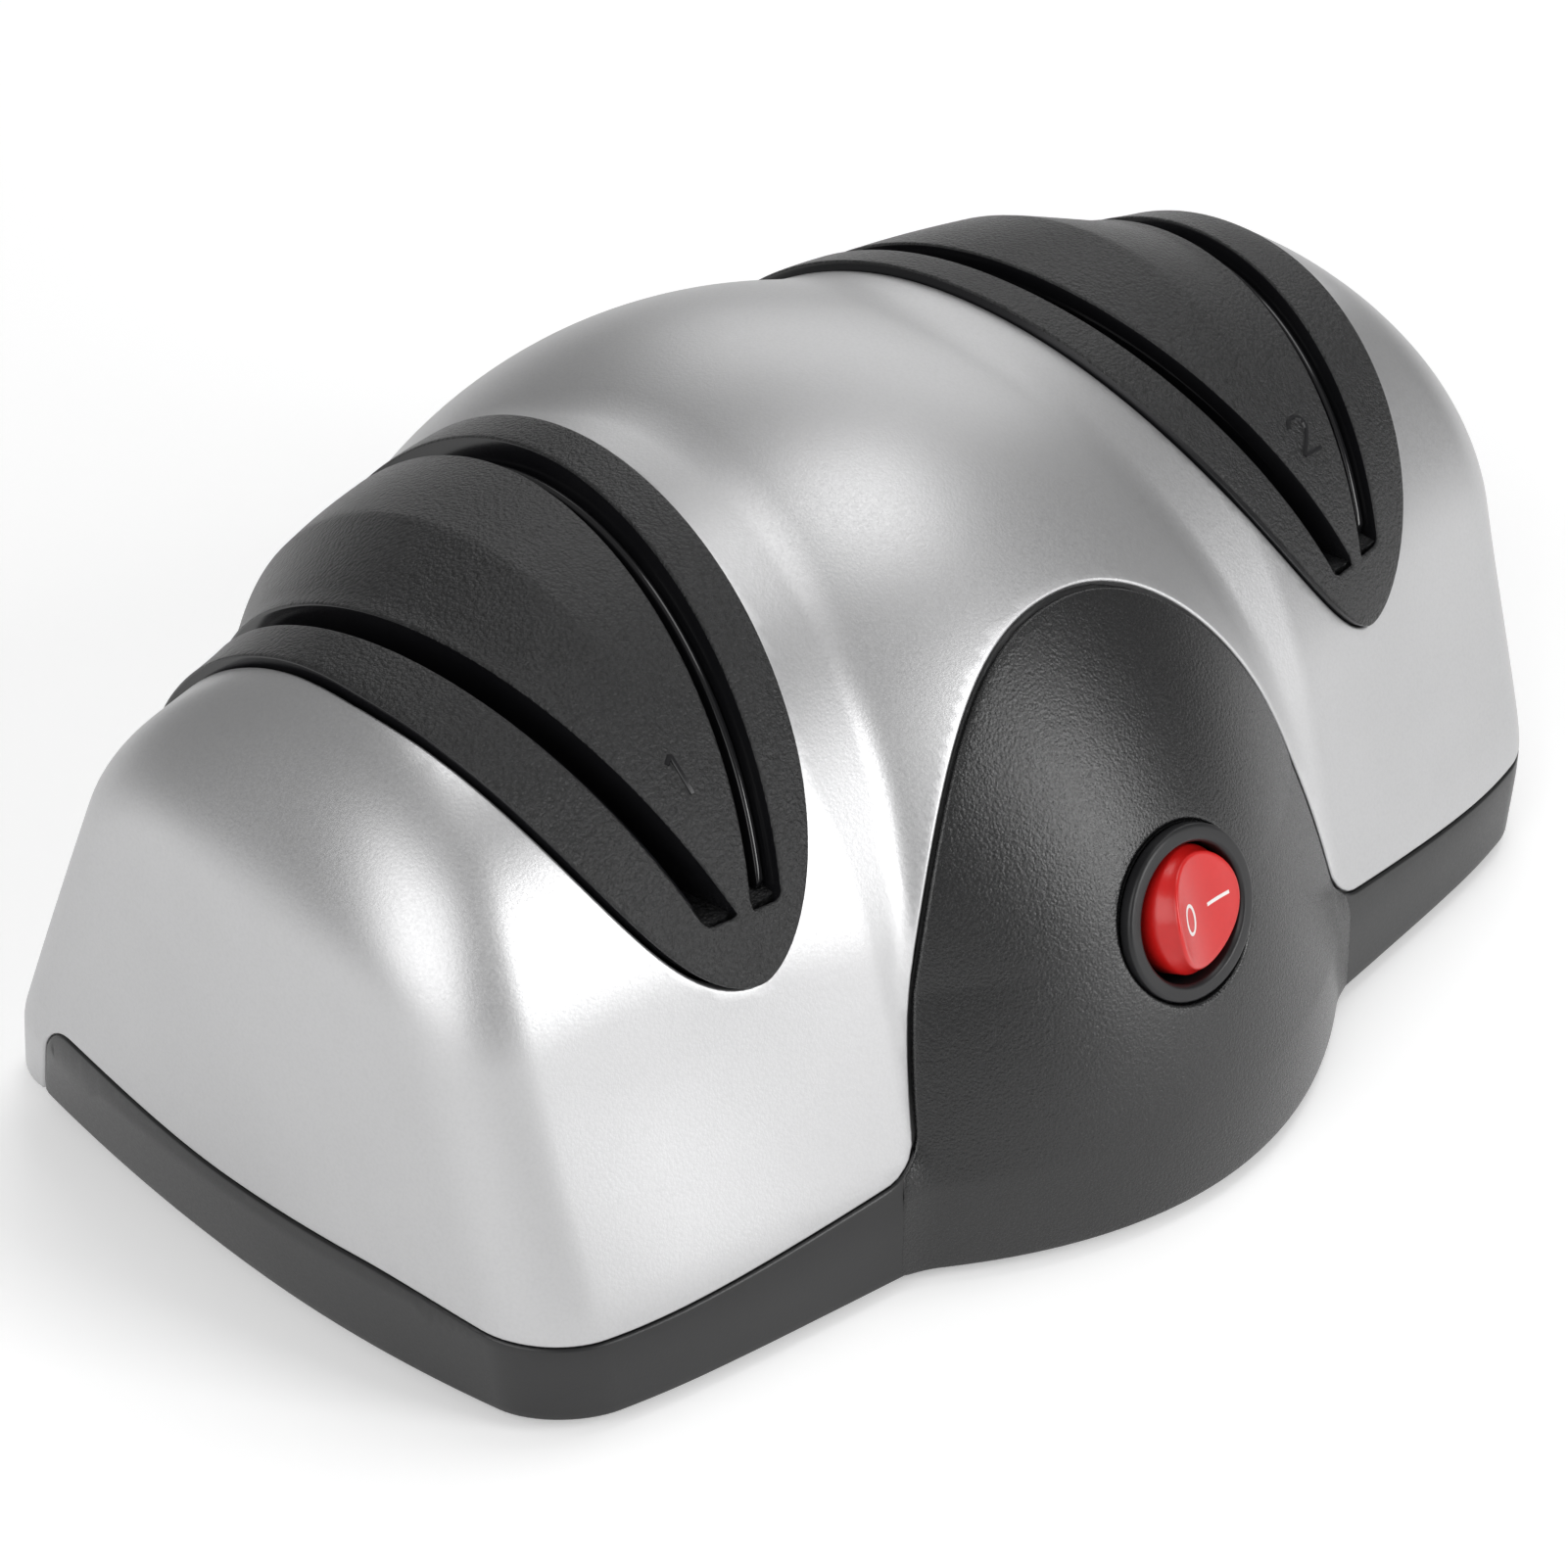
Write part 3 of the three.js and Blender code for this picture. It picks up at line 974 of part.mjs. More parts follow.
// Cord gland in the back wall.
const flangeStart = GLAND_SEAT + GAP;
const gland = join(ring(GLAND_BORE, GLAND_RADIUS, -GLAND_INSIDE, GLAND_OUTSIDE, MEDIUM_ROUND),
  ring(GLAND_BORE, GLAND_FLANGE, flangeStart, flangeStart + GLAND_FLANGE_THICKNESS, MEDIUM_ROUND));
add(part, 'cord_gland', atGland(gland), 'rubber');

// Rubber feet, pressed into recesses of the floor.
const foot = turned([[0, 0], [FOOT_RADIUS - FOOT_CHAMFER, 0], [FOOT_RADIUS, FOOT_CHAMFER],
  [FOOT_RADIUS, FOOT_HEIGHT + FOOT_RECESS], [0, FOOT_HEIGHT + FOOT_RECESS]], MEDIUM_ROUND);
footPlaces.forEach(([name, x, y]) => {
  add(part, `rubber_foot_${name}`, foot, 'rubber', [x, y, 0]);
});

export default part;
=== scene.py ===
import json
import math

import bmesh
import bpy
import numpy as np
from mathutils import Matrix, Vector
from mathutils.bvhtree import BVHTree


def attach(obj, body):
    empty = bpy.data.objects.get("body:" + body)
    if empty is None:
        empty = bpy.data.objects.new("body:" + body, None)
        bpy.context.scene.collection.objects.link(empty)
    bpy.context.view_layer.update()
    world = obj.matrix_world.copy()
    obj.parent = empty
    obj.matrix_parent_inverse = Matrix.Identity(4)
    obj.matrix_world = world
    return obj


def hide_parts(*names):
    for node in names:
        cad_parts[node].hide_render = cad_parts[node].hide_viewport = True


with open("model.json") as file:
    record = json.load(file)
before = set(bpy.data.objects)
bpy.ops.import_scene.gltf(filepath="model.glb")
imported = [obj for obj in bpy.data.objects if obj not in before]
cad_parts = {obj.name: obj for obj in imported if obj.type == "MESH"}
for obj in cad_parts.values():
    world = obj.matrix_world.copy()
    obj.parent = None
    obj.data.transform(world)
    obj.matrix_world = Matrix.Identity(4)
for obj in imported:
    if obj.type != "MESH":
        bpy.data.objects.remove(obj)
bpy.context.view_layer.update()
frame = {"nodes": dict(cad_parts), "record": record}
nodes = frame["nodes"]


# Upper shell: one moulding of ABS, painted in satin silver, 2.6 mm thick. Four screws from below
# pull it down on the lower housing. It has a dome between two collars and a lobe at each end.
# All lengths are millimetres and become metres when a mesh is made.
SHELL_WALL = 2.6
GAP = 0.3
LIP, ROUND_STEPS, LIP_CALMING = 0.45, 4, 3
UNDERSIDE, SKIN_FOOT = 2.0, -2.0
FAR = 40.0  # stands for far away in a field of distances
SNAP = 0.35  # a point nearer to the cut than this share of its edge is moved onto it

# The form is a side view of back wall, arch, leaning front and upright foot that changes along x,
# with a round dome over its middle.
HALF_LENGTH = 101.45
KNEE_Z = 15.0
KNEE_ROUND = 5.0
FRONT_Y, CREASE_X, FRONT_SWEEP, FRONT_LEAN = -59.4, 41.3, math.radians(8.9), math.radians(15)
BACK_LEAN = math.radians(18), math.radians(26)
BACK_DEPTH = 0.94, 0.99
ARCH_Y, ARCH_SHIFT = (5.3, -3.2), (30.0, 85.0)
ARCH_TOP, CROWN_FROM, CROWN_DROP, CROWN_POWER = 89.9, 16.0, 11.8, 1.5
FILLET_FOOT, FILLET_FRONT, FILLET_TOP, FILLET_BACK = 8.0, 9.0, 20.0, 7.0
BOW_FRONT, BOW_BACK, BOW_Y, BOW_FROM, BOW_REACH = 200.0, 300.0, -2.0, 45.0, 60.0
END_LEAN, END_LOW, END_NARROWING = math.radians(2), 0.36, 0.94
FLARE_FRONT, FLARE_BACK, FLARE_HALF = 1.8, 2.6, 45.0
FRONT_BOW, FRONT_BOW_POWER, FRONT_BOW_Z, FRONT_BOW_Y = 2.0, 1.6, (45.0, 8.0), (-25.0, -42.0)
LOBE_STEPS, FILLET_STEPS = 32, 16
DOME_RADIUS, DOME_Y, DOME_Z, DOME_SPAN, DOME_CREASE = 70.0, 4.8, 23.2, 46.0, 0.9
COLLAR_FROM, COLLAR_TO = 17, 34

# The parting line between shell and skirt, the front arch, the leaf outline and the gland.
SKIRT_Z, SKIRT_RISE_FRONT, SKIRT_RISE_POWER = 13.6, 3.8, 1.5
SKIRT_RISE_END, SKIRT_END_Y, SKIRT_RISE_BACK, SKIRT_REAR_Y = 3.7, (-60.0, -22.0), 2.0, (0.0, 40.0)
SKIRT_CORNER_X, SKIRT_BACK_Y, SKIRT_BACK_LEAN, SKIRT_BACK_ROUND = 85.0, 47.6, 0.5, 4.0
BULGE_HEIGHT, BULGE_POWER = 73.4, 2.1
STAGE_X, LEAF_Y, LEAF_Z, LEAF_ROLL = 57.0, 2.6, 33.0, 56.0
LEAF_BACK, LEAF_TIP, LEAF_INNER, LEAF_OUTER, LEAF_REACH = -76.0, 72.5, 28.2, 25.2, 36.0
GLAND_X, GLAND_Z, GLAND_FLANGE = 46.0, 17.0, 7.2
CORNER_ROUND = 4.5
SILVER, SILVER_DARKER = (0.54, 0.54, 0.545), (0.52, 0.52, 0.525)

# Where the points of a side view lie: -1 to 0 up the back wall, 0 to 1 over the arch,
# 1 to 2 down the leaning front wall, 2 to 3 down its upright foot.
PLACE = np.concatenate([
    np.linspace(-1, 0, 32, endpoint=False),
    np.linspace(0, 1, 104, endpoint=False),
    np.linspace(1, 2, 20, endpoint=False),
    np.linspace(2, 3, 13),
])


def mix(a, b, t):
    return a + (b - a) * t


def smooth(a, b, v):
    t = np.clip((v - a) / (b - a), 0, 1)
    return t * t * (3 - 2 * t)


def points_of(*parts):
    """Points from their coordinates, each a number or a row of numbers."""
    return np.stack(np.broadcast_arrays(*parts), axis=1)


def unit(v):
    return v / np.maximum(np.linalg.norm(v, axis=-1, keepdims=True), 1e-9)


def arch_at(u):
    """Middle, radius, front face, back lean and back depth of the arch at a station."""
    share = smooth(*ARCH_SHIFT, u)
    y = mix(*ARCH_Y, share)
    fall = np.maximum(0, (u - CROWN_FROM) / (HALF_LENGTH - CROWN_FROM))
    top = ARCH_TOP - CROWN_DROP * fall**CROWN_POWER
    front = FRONT_Y + np.maximum(0, u - CREASE_X) * math.tan(FRONT_SWEEP)
    across = math.cos(FRONT_LEAN) * (y - front) - math.sin(FRONT_LEAN) * (top - KNEE_Z)
    radius = across / (1 - math.sin(FRONT_LEAN))
    return y, top - radius, radius, front, mix(*BACK_LEAN, share), mix(*BACK_DEPTH, share)


def front_bow(u, y, z):
    """How far the low front stands out between its corner and the front arch."""
    share = np.clip((u - CREASE_X) / (HALF_LENGTH - CREASE_X), 0, 1)
    bow = FRONT_BOW * np.sin(math.pi * share**FRONT_BOW_POWER)
    return bow * smooth(*FRONT_BOW_Z, z) * smooth(*FRONT_BOW_Y, y)


def side_view(u, grow=0.0):
    """y and z of the side view at station u, with the surface grown by so much."""
    y0, z0, radius, front, lean, depth = arch_at(u)
    t = mix(np.arctan(np.tan(lean) / depth), math.pi - FRONT_LEAN, np.clip(PLACE, 0, 1))
    y = y0 + (radius + grow) * np.cos(t) * np.where(t < math.pi / 2, depth, 1)
    z = z0 + (radius + grow) * np.sin(t)
    low = mix(z, SKIN_FOOT, np.clip(-PLACE, 0, 1))
    y = y + (z - low) * np.tan(lean)
    z = low
    knee = front - grow
    wall = np.hypot(y - knee, z - KNEE_Z)
    toe_y, toe_z = y, z
    y = mix(y, knee, np.clip(PLACE - 1, 0, 1))
    z = mix(mix(z, KNEE_Z, np.clip(PLACE - 1, 0, 1)), SKIN_FOOT, np.clip(PLACE - 2, 0, 1))
    along = (PLACE - 2) * np.where(PLACE < 2, wall, KNEE_Z - SKIN_FOOT)
    share = np.clip((along + KNEE_ROUND) / (2 * KNEE_ROUND), 0, 1)
    up_y, up_z = (toe_y - knee) / wall * KNEE_ROUND, (toe_z - KNEE_Z) / wall * KNEE_ROUND
    inside = (PLACE > 1) & (np.abs(along) < KNEE_ROUND)
    y = np.where(inside, knee + (1 - share) ** 2 * up_y, y)
    z = np.where(inside, KNEE_Z + (1 - share) ** 2 * up_z - share**2 * KNEE_ROUND, z)
    return y - front_bow(u, y, z), z


def placed(u, y, z):
    """x of a point of the right lobe, whose end is bowed, leans in and narrows at its foot."""
    fade = smooth(BOW_FROM, HALF_LENGTH - FILLET_TOP, u)
    away = np.minimum(y, BOW_REACH) - BOW_Y
    bow = away**2 / (2 * np.where(away < 0, BOW_FRONT, BOW_BACK))
    lean = math.tan(END_LEAN) * np.maximum(0, z - KNEE_Z)
    flare = mix(FLARE_FRONT, FLARE_BACK, smooth(-FLARE_HALF, FLARE_HALF, y))
    return u - fade * (bow + lean + flare * np.maximum(0, (KNEE_Z - z) / (KNEE_Z - UNDERSIDE)))


def end_fillet(grow=0.0):
    """Radius of the rounding between a lobe's side view and its end face."""
    over = np.clip(PLACE, 0, 1)
    fillet = np.where(over < 0.5, mix(FILLET_BACK, FILLET_TOP, smooth(0, 0.5, over)),
                      mix(FILLET_TOP, FILLET_FRONT, smooth(0.5, 1, over)))
    return mix(fillet, FILLET_FOOT, smooth(1, 2, PLACE)) + grow


def lobe_columns():
    """Columns of points from the dome's edge to the middle of the right lobe's end face, which
    has them closer together low down, where the skirt's edge crosses it."""
    fillet = end_fillet()
    views = []
    for share in np.linspace(0, 1, LOBE_STEPS, endpoint=False):
        u = mix(DOME_SPAN, HALF_LENGTH - fillet, share)
        views.append((u, *side_view(u)))
    for turn in np.linspace(0, math.pi / 2, FILLET_STEPS):
        u = HALF_LENGTH - fillet * (1 - math.sin(turn))
        views.append((u, *side_view(u, -fillet * (1 - math.cos(turn)))))
    u, y, z = views[-1]
    narrowed = mix(arch_at(HALF_LENGTH)[0], y, END_NARROWING)
    for share in np.concatenate([np.linspace(1, END_LOW, 10)[1:], np.linspace(END_LOW, 0.04, 24)[1:]]):
        views.append((u, mix(narrowed, y, share), mix(SKIN_FOOT, z, share)))
    return [points_of(placed(u, y, z), y, z) for u, y, z in views]


def middle_columns():
    """Columns over the collars and the dome, whose meeting line is softly filled."""
    y, z = side_view(DOME_SPAN)
    angle = np.unwrap(np.arctan2(z - DOME_Z, y - DOME_Y))
    spans = ((-DOME_SPAN, -COLLAR_TO, 10), (-COLLAR_TO, -COLLAR_FROM, 40), (-COLLAR_FROM, COLLAR_FROM, 31),
             (COLLAR_FROM, COLLAR_TO, 40), (COLLAR_TO, DOME_SPAN, 10))
    stations = np.concatenate([np.linspace(*span, endpoint=False) for span in spans])
    columns = []
    for x in stations[1:]:
        y, z = side_view(abs(x))
        here = np.unwrap(np.arctan2(z - DOME_Z, y - DOME_Y))
        collar = np.interp(angle, here, np.hypot(y - DOME_Y, z - DOME_Z))
        dome = math.sqrt(DOME_RADIUS**2 - x * x)
        near = np.maximum(DOME_CREASE - np.abs(collar - dome), 0)
        radius = np.maximum(collar, dome) + near**2 / (4 * DOME_CREASE)
        columns.append(points_of(x, DOME_Y + radius * np.cos(angle), DOME_Z + radius * np.sin(angle)))
    return columns


def skin(columns):
    """Points, outward normals and faces of a surface given as columns of points."""
    grid = np.stack(columns)
    normals = unit(np.cross(np.gradient(grid, axis=1), np.gradient(grid, axis=0)))
    rows, n = grid.shape[:2]
    first = (np.arange(rows - 1)[:, None] * n + np.arange(n - 1)).ravel()
    faces = np.stack([first, first + 1, first + n + 1, first + n], axis=1)
    return grid.reshape(-1, 3), normals.reshape(-1, 3), [tuple(f) for f in faces.tolist()]


def housing_skin():
    right = lobe_columns()
    return skin([column * [-1, 1, 1] for column in reversed(right)] + middle_columns() + right)


def rounded_max(a, b, radius):
    """The larger of two distances, with a round corner where both are near zero."""
    return (np.minimum(np.maximum(a, b) + radius, 0)
            + np.hypot(np.maximum(a + radius, 0), np.maximum(b + radius, 0)) - radius)


def above_parting(points):
    """Distance beyond the skirt's upper and back edge."""
    x, y, z = points.T
    towards_bulge = np.clip((SKIRT_CORNER_X - np.abs(x)) / (SKIRT_CORNER_X - CREASE_X), 0, 1)
    rise = SKIRT_RISE_FRONT * towards_bulge**SKIRT_RISE_POWER
    rise = mix(rise, SKIRT_RISE_END, smooth(*SKIRT_END_Y, y))
    top = SKIRT_Z + rise + SKIRT_RISE_BACK * smooth(*SKIRT_REAR_Y, y)
    behind = y - SKIRT_BACK_Y + SKIRT_BACK_LEAN * (z - UNDERSIDE)
    return rounded_max(z - top, behind, SKIRT_BACK_ROUND)


def outside_arch(x, z, grow):
    """Distance outside the front arch, seen from the front."""
    a = np.abs(x) / (CREASE_X + grow)
    b = np.maximum(z - UNDERSIDE, 0) / (BULGE_HEIGHT + grow)
    size = np.maximum((a**BULGE_POWER + b**BULGE_POWER) ** (1 / BULGE_POWER), 1e-6)
    slope = np.hypot((a / size) ** (BULGE_POWER - 1) / (CREASE_X + grow),
                     (b / size) ** (BULGE_POWER - 1) / (BULGE_HEIGHT + grow))
    return (size - 1) / slope


def leaf_outline():
    """Edge of a guide insert as x and turn, in radians, from the top towards the front."""
    along = (1 - np.cos(np.linspace(0, math.pi, 120))) / 2
    turn = mix(math.radians(LEAF_BACK), math.radians(LEAF_TIP), along)

    def closing(start, end, power, share):
        """Share of the width that is left: all before the start and none at the end."""
        gone = np.clip((turn - math.radians(start)) / math.radians(end - start), 0, 1)
        return np.maximum(0, 1 - gone**power) ** share

    behind = closing(-40, LEAF_BACK, 2.4, 0.45)
    inner = STAGE_X - LEAF_INNER * closing(-38, LEAF_TIP, 2, 0.62) * behind
    outer = STAGE_X + LEAF_OUTER * closing(8, LEAF_TIP, 1.5, 0.51) * behind
    return np.concatenate([points_of(inner, turn), points_of(outer, turn)[-2:0:-1]])


LEAF = leaf_outline()


def outside_leaf(points):
    """Distance outside the leaf outline, measured on the surface rolled out flat."""
    x, y, z = points.T
    flat = points_of(np.abs(x), LEAF_ROLL * np.arctan2(LEAF_Y - y, z - LEAF_Z))
    outline = LEAF * [1, LEAF_ROLL]
    start, end = outline, np.roll(outline, -1, axis=0)
    found = np.full(len(flat), FAR)
    close = np.nonzero((np.abs(flat[:, 0] - STAGE_X) < LEAF_REACH) & (z > LEAF_Z - 8))[0]
    for part in np.array_split(close, len(close) // 2000 + 1):
        p = flat[part][:, None]
        run = end - start
        share = np.clip(((p - start) * run).sum(2) / np.maximum((run * run).sum(1), 1e-9), 0, 1)
        distance = np.linalg.norm(p - start - share[..., None] * run, axis=2).min(1)
        crossed = (start[:, 1] > p[..., 1]) != (end[:, 1] > p[..., 1])
        rise = np.where(np.abs(run[:, 1]) < 1e-9, 1e-9, run[:, 1])
        hit = start[:, 0] + (p[..., 1] - start[:, 1]) * run[:, 0] / rise > p[..., 0]
        inside = (crossed & hit).sum(1) % 2 == 1
        found[part] = np.where(inside, -distance, distance)
    return found


def trimmed(points, normals, faces, field):
    """The part of a skin where the field is negative, with a clean edge along its zero line."""
    points, normals, value = points.copy(), normals.copy(), field(points)
    value[np.abs(value) < 1e-6] = 0
    moves = {}
    for face in faces:
        for a, b in zip(face, face[1:] + face[:1]):
            if value[a] * value[b] < 0:
                share = value[a] / (value[a] - value[b])
                for v, other, part in ((a, b, share), (b, a, 1 - share)):
                    if part < SNAP and part < moves.get(v, (0, 1))[1]:
                        moves[v] = other, part
    new_points = {v: mix(points[v], points[other], part) for v, (other, part) in moves.items()}
    for v, place in new_points.items():
        points[v] = place
        value[v] = 0
    more, cuts, kept = [], {}, []
    for face in faces:
        signs = [value[v] for v in face]
        if min(signs) >= 0:
            continue
        if max(signs) <= 0:
            kept.append(face)
            continue
        ring = []
        for a, b in zip(face, face[1:] + face[:1]):
            if value[a] <= 0:
                ring.append(a)
            if value[a] * value[b] < 0:
                key = min(a, b), max(a, b)
                if key not in cuts:
                    share = value[key[0]] / (value[key[0]] - value[key[1]])
                    cuts[key] = len(points) + len(more)
                    more.append((mix(points[key[0]], points[key[1]], share),
                                 mix(normals[key[0]], normals[key[1]], share)))
                ring.append(cuts[key])
        kept.append(tuple(ring))
    if more:
        points = np.concatenate([points, [p for p, _ in more]])
        normals = unit(np.concatenate([normals, [n for _, n in more]]))
    used = sorted({v for face in kept for v in face})
    place = {v: i for i, v in enumerate(used)}
    return points[used], normals[used], [tuple(place[v] for v in face) for face in kept]


def borders(faces):
    """Closed rows of points round a skin's edges."""
    edges = {(a, b) for face in faces for a, b in zip(face, face[1:] + face[:1])}
    following = {a: b for a, b in edges if (b, a) not in edges}
    loops = []
    while following:
        start, after = following.popitem()
        loop = [start]
        while after != start:
            loop.append(after)
            after = following.pop(after)
        loops.append(np.array(loop))
    return loops


def lipped(p, n, away, lip, depth):
    """Rings of a rounded edge and a straight wall below it."""
    turns = np.linspace(0, math.pi / 2, ROUND_STEPS + 1)[1:]
    rings = [p + lip * math.sin(t) * away - lip * (1 - math.cos(t)) * n for t in turns]
    return rings + [p + lip * away - depth * n]


def walled(points, normals, faces, wall, lip=LIP, special=None):
    """A closed piece: the skin, its rounded edges and an inner face. A special edge gives its
    own rings, or None."""
    count = len(points)
    blocks = [points, points - wall * normals]
    polygons = faces + [tuple(i + count for i in reversed(face)) for face in faces]
    total = 2 * count
    for loop in borders(faces):
        p, n = points[loop], normals[loop]
        away = unit(np.cross(np.roll(p, -1, axis=0) - np.roll(p, 1, axis=0), n))
        for _ in range(LIP_CALMING):
            away = unit(np.roll(away, -1, axis=0) + 2 * away + np.roll(away, 1, axis=0))
        away = unit(away - (away * n).sum(1)[:, None] * n)
        rings = special(p, n, away) if special else None
        rings = rings or lipped(p, n, away, lip, wall)
        ids = [loop]
        for ring in rings:
            ids.append(np.arange(total, total + len(loop)))
            blocks.append(ring)
            total += len(loop)
        ids.append(loop + count)
        for a, b in zip(ids, ids[1:]):
            a_next, b_next = np.roll(a, -1), np.roll(b, -1)
            polygons += [tuple(f) for f in np.stack([a_next, a, b, b_next], axis=1).tolist()]
    return np.concatenate(blocks), polygons


def joined(*shapes):
    """One set of points and faces from several."""
    points, faces, count = [], [], 0
    for p, f in shapes:
        points.append(np.asarray(p, float))
        faces += [tuple(int(i) + count for i in face) for face in f]
        count += len(p)
    return np.concatenate(points), faces


def mirrored(shape):
    points, faces = shape
    return np.asarray(points) * [-1, 1, 1], [tuple(reversed(face)) for face in faces]


def flipped(faces):
    """The same faces turned inside out, each from the same first point."""
    return [(face[0], *face[:0:-1]) for face in faces]


def ring_faces(rings, steps, looped=False):
    """Faces between rings of so many points, and from the last to the first one if looped."""
    faces = []
    for ring in range(rings if looped else rings - 1):
        low, high = ring * steps, (ring + 1) % rings * steps
        for k in range(steps):
            j = (k + 1) % steps
            faces.append((low + k, low + j, high + j, high + k))
    return faces


def bar_faces(rings, sides):
    """Faces of a bar through rings of so many corners, with its two ends."""
    last = sides * (rings - 1)
    ends = [tuple(range(sides - 1, -1, -1)), tuple(range(last, last + sides))]
    return ring_faces(rings, sides) + ends


def cross_section(half, low, high):
    """Corners of a bar's oblong section, as offsets sideways and upwards."""
    return (-half, low), (half, low), (half, high), (-half, high)


def fans(rings, steps):
    """Faces from the first and last ring to the two points that follow all rings."""
    faces, last, hub = [], (rings - 1) * steps, rings * steps
    for k in range(steps):
        j = (k + 1) % steps
        faces += [(hub, j, k), (hub + 1, last + k, last + j)]
    return faces


def turned(profile, steps=64):
    """A turned shape about +Z from (radius, height) pairs, closed on itself or on the axis."""
    closed = profile[0][0] < 1e-9 and profile[-1][0] < 1e-9
    ring = profile[1:-1] if closed else profile
    around = np.arange(steps) * 2 * math.pi / steps
    points = [(r * math.cos(t), r * math.sin(t), h) for r, h in ring for t in around]
    if not closed:
        return np.array(points), ring_faces(len(ring), steps, looped=True)
    points += [(0, 0, profile[0][1]), (0, 0, profile[-1][1])]
    return np.array(points), ring_faces(len(ring), steps) + fans(len(ring), steps)


def moved(shape, matrix):
    points, faces = shape
    m = np.array(matrix)
    return points @ m[:3, :3].T + m[:3, 3], faces


def rounded_profile(corners, radius):
    """Corners of a profile, rounded by one radius or by one each; those on the axis stay."""
    out = []
    corners = [np.array(c, float) for c in corners]
    radii = radius if isinstance(radius, (list, tuple)) else [radius] * len(corners)
    for i, (corner, r) in enumerate(zip(corners, radii)):
        before, after = corners[i - 1], corners[(i + 1) % len(corners)]
        if corner[0] < 1e-9 or r <= 0:
            out.append(tuple(corner))
            continue
        a, b = unit(before - corner), unit(after - corner)
        for t in np.linspace(0, 1, ROUND_STEPS + 1):
            out.append(tuple(corner + r * ((1 - t) ** 2 * a + t**2 * b)))
    return out


def linked(name, data):
    """A new object in the scene that shows a mesh, lamp or camera."""
    item = bpy.data.objects.new(name, data)
    bpy.context.scene.collection.objects.link(item)
    return item


def new_mesh(name, shape):
    """A mesh in metres from points in millimetres and faces."""
    points, faces = shape
    mesh = bpy.data.meshes.new(name)
    mesh.from_pydata((np.asarray(points) / 1000).tolist(), [], [list(map(int, f)) for f in faces])
    return mesh


def soften(mesh, sharp):
    """Smooth shading, with edges kept sharp from so many degrees."""
    mesh.shade_smooth()
    mesh.set_sharp_from_angle(angle=math.radians(sharp))


def piece(name, shape, materials, body="base", sharp=35, pick=None):
    """A Blender object from points in millimetres; pick gives a face's material number."""
    mesh = new_mesh(name, shape)
    work = bmesh.new()
    work.from_mesh(mesh)
    bmesh.ops.remove_doubles(work, verts=work.verts, dist=1e-6)
    bmesh.ops.dissolve_degenerate(work, edges=work.edges, dist=1e-7)
    work.to_mesh(mesh)
    work.free()
    soften(mesh, sharp)
    for material in materials:
        mesh.materials.append(material)
    if pick:
        for polygon in mesh.polygons:
            polygon.material_index = pick(polygon)
    item = linked(name, mesh)
    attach(item, body)
    return item


def new_group(name, inputs, outputs, kind="ShaderNodeTree"):
    """An empty node group with its named sockets, and its input and output nodes."""
    group = bpy.data.node_groups.new(name, kind)
    for label, kind, value in inputs:
        socket = group.interface.new_socket(label, in_out="INPUT", socket_type="NodeSocket" + kind)
        if value is not None:
            socket.default_value = value
    for label, kind in outputs:
        group.interface.new_socket(label, in_out="OUTPUT", socket_type="NodeSocket" + kind)
    return group, group.nodes.new("NodeGroupInput"), group.nodes.new("NodeGroupOutput")


def node(tree, kind, links=None, values=None, family="ShaderNode", **settings):
    """A node with its settings, input values by socket name, and links into it."""
    made = tree.nodes.new(family + kind)
    for key, value in settings.items():
        setattr(made, key, value)
    for key, value in (values or {}).items():
        made.inputs[key].default_value = value
    for key, source in (links or {}).items():
        tree.links.new(source, made.inputs[key])
    return made


def patches_group():
    """Broad, faint patches, as handling leaves them, and finer specks among them."""
    group, entry, leave = new_group("faint_patches", [("Vector", "Vector", None), ("Size", "Float", 40)],
                                    [("Patches", "Float"), ("Specks", "Float")])
    where, size = entry.outputs["Vector"], entry.outputs["Size"]
    broad = node(group, "TexNoise", {"Vector": where, "Scale": size}, {"Detail": 4, "Roughness": 0.6})
    fine = node(group, "TexNoise", {"Vector": where}, {"Scale": 2600, "Detail": 2, "Roughness": 0.7})
    for source, label in ((broad, "Patches"), (fine, "Specks")):
        spread = node(group, "MapRange", {"Value": source.outputs["Fac"]},
                      {"From Min": 0.34, "From Max": 0.66})
        group.links.new(spread.outputs["Result"], leave.inputs[label])
    return group


def grain_group():
    """Pebbles of a grained mould: height of rounded cells with finer noise, and where hollows get painted
    shade.
    """
    group, entry, leave = new_group("mould_grain", [("Vector", "Vector", None), ("Cells", "Float", 1500)],
                                    [("Height", "Float"), ("Hollow_Shade", "Float")])
    where, scale = entry.outputs["Vector"], entry.outputs["Cells"]
    cells = node(group, "TexVoronoi", {"Vector": where, "Scale": scale},
                 {"Smoothness": 0.6, "Randomness": 1}, feature="SMOOTH_F1")
    finer = node(group, "Math", {0: scale}, {1: 2.3}, operation="MULTIPLY")
    noise = node(group, "TexNoise", {"Vector": where, "Scale": finer.outputs[0]},
                 {"Detail": 2, "Roughness": 0.55})
    distance = cells.outputs["Distance"]
    both = node(group, "Math", {0: noise.outputs["Fac"], 1: distance}, operation="SUBTRACT")
    group.links.new(both.outputs[0], leave.inputs["Height"])
    # Mask of painted shade: near 1 in the hollows between the pebbles.
    hollow = node(group, "MapRange", {"Value": distance}, {"From Min": 0.35, "From Max": 0.75})
    group.links.new(hollow.outputs["Result"], leave.inputs["Hollow_Shade"])
    return group


PATCHES = patches_group()
GRAIN = grain_group()
FIRST_COLOUR, SECOND_COLOUR, MIXED_COLOUR = 6, 7, 2  # a Mix node's colour sockets


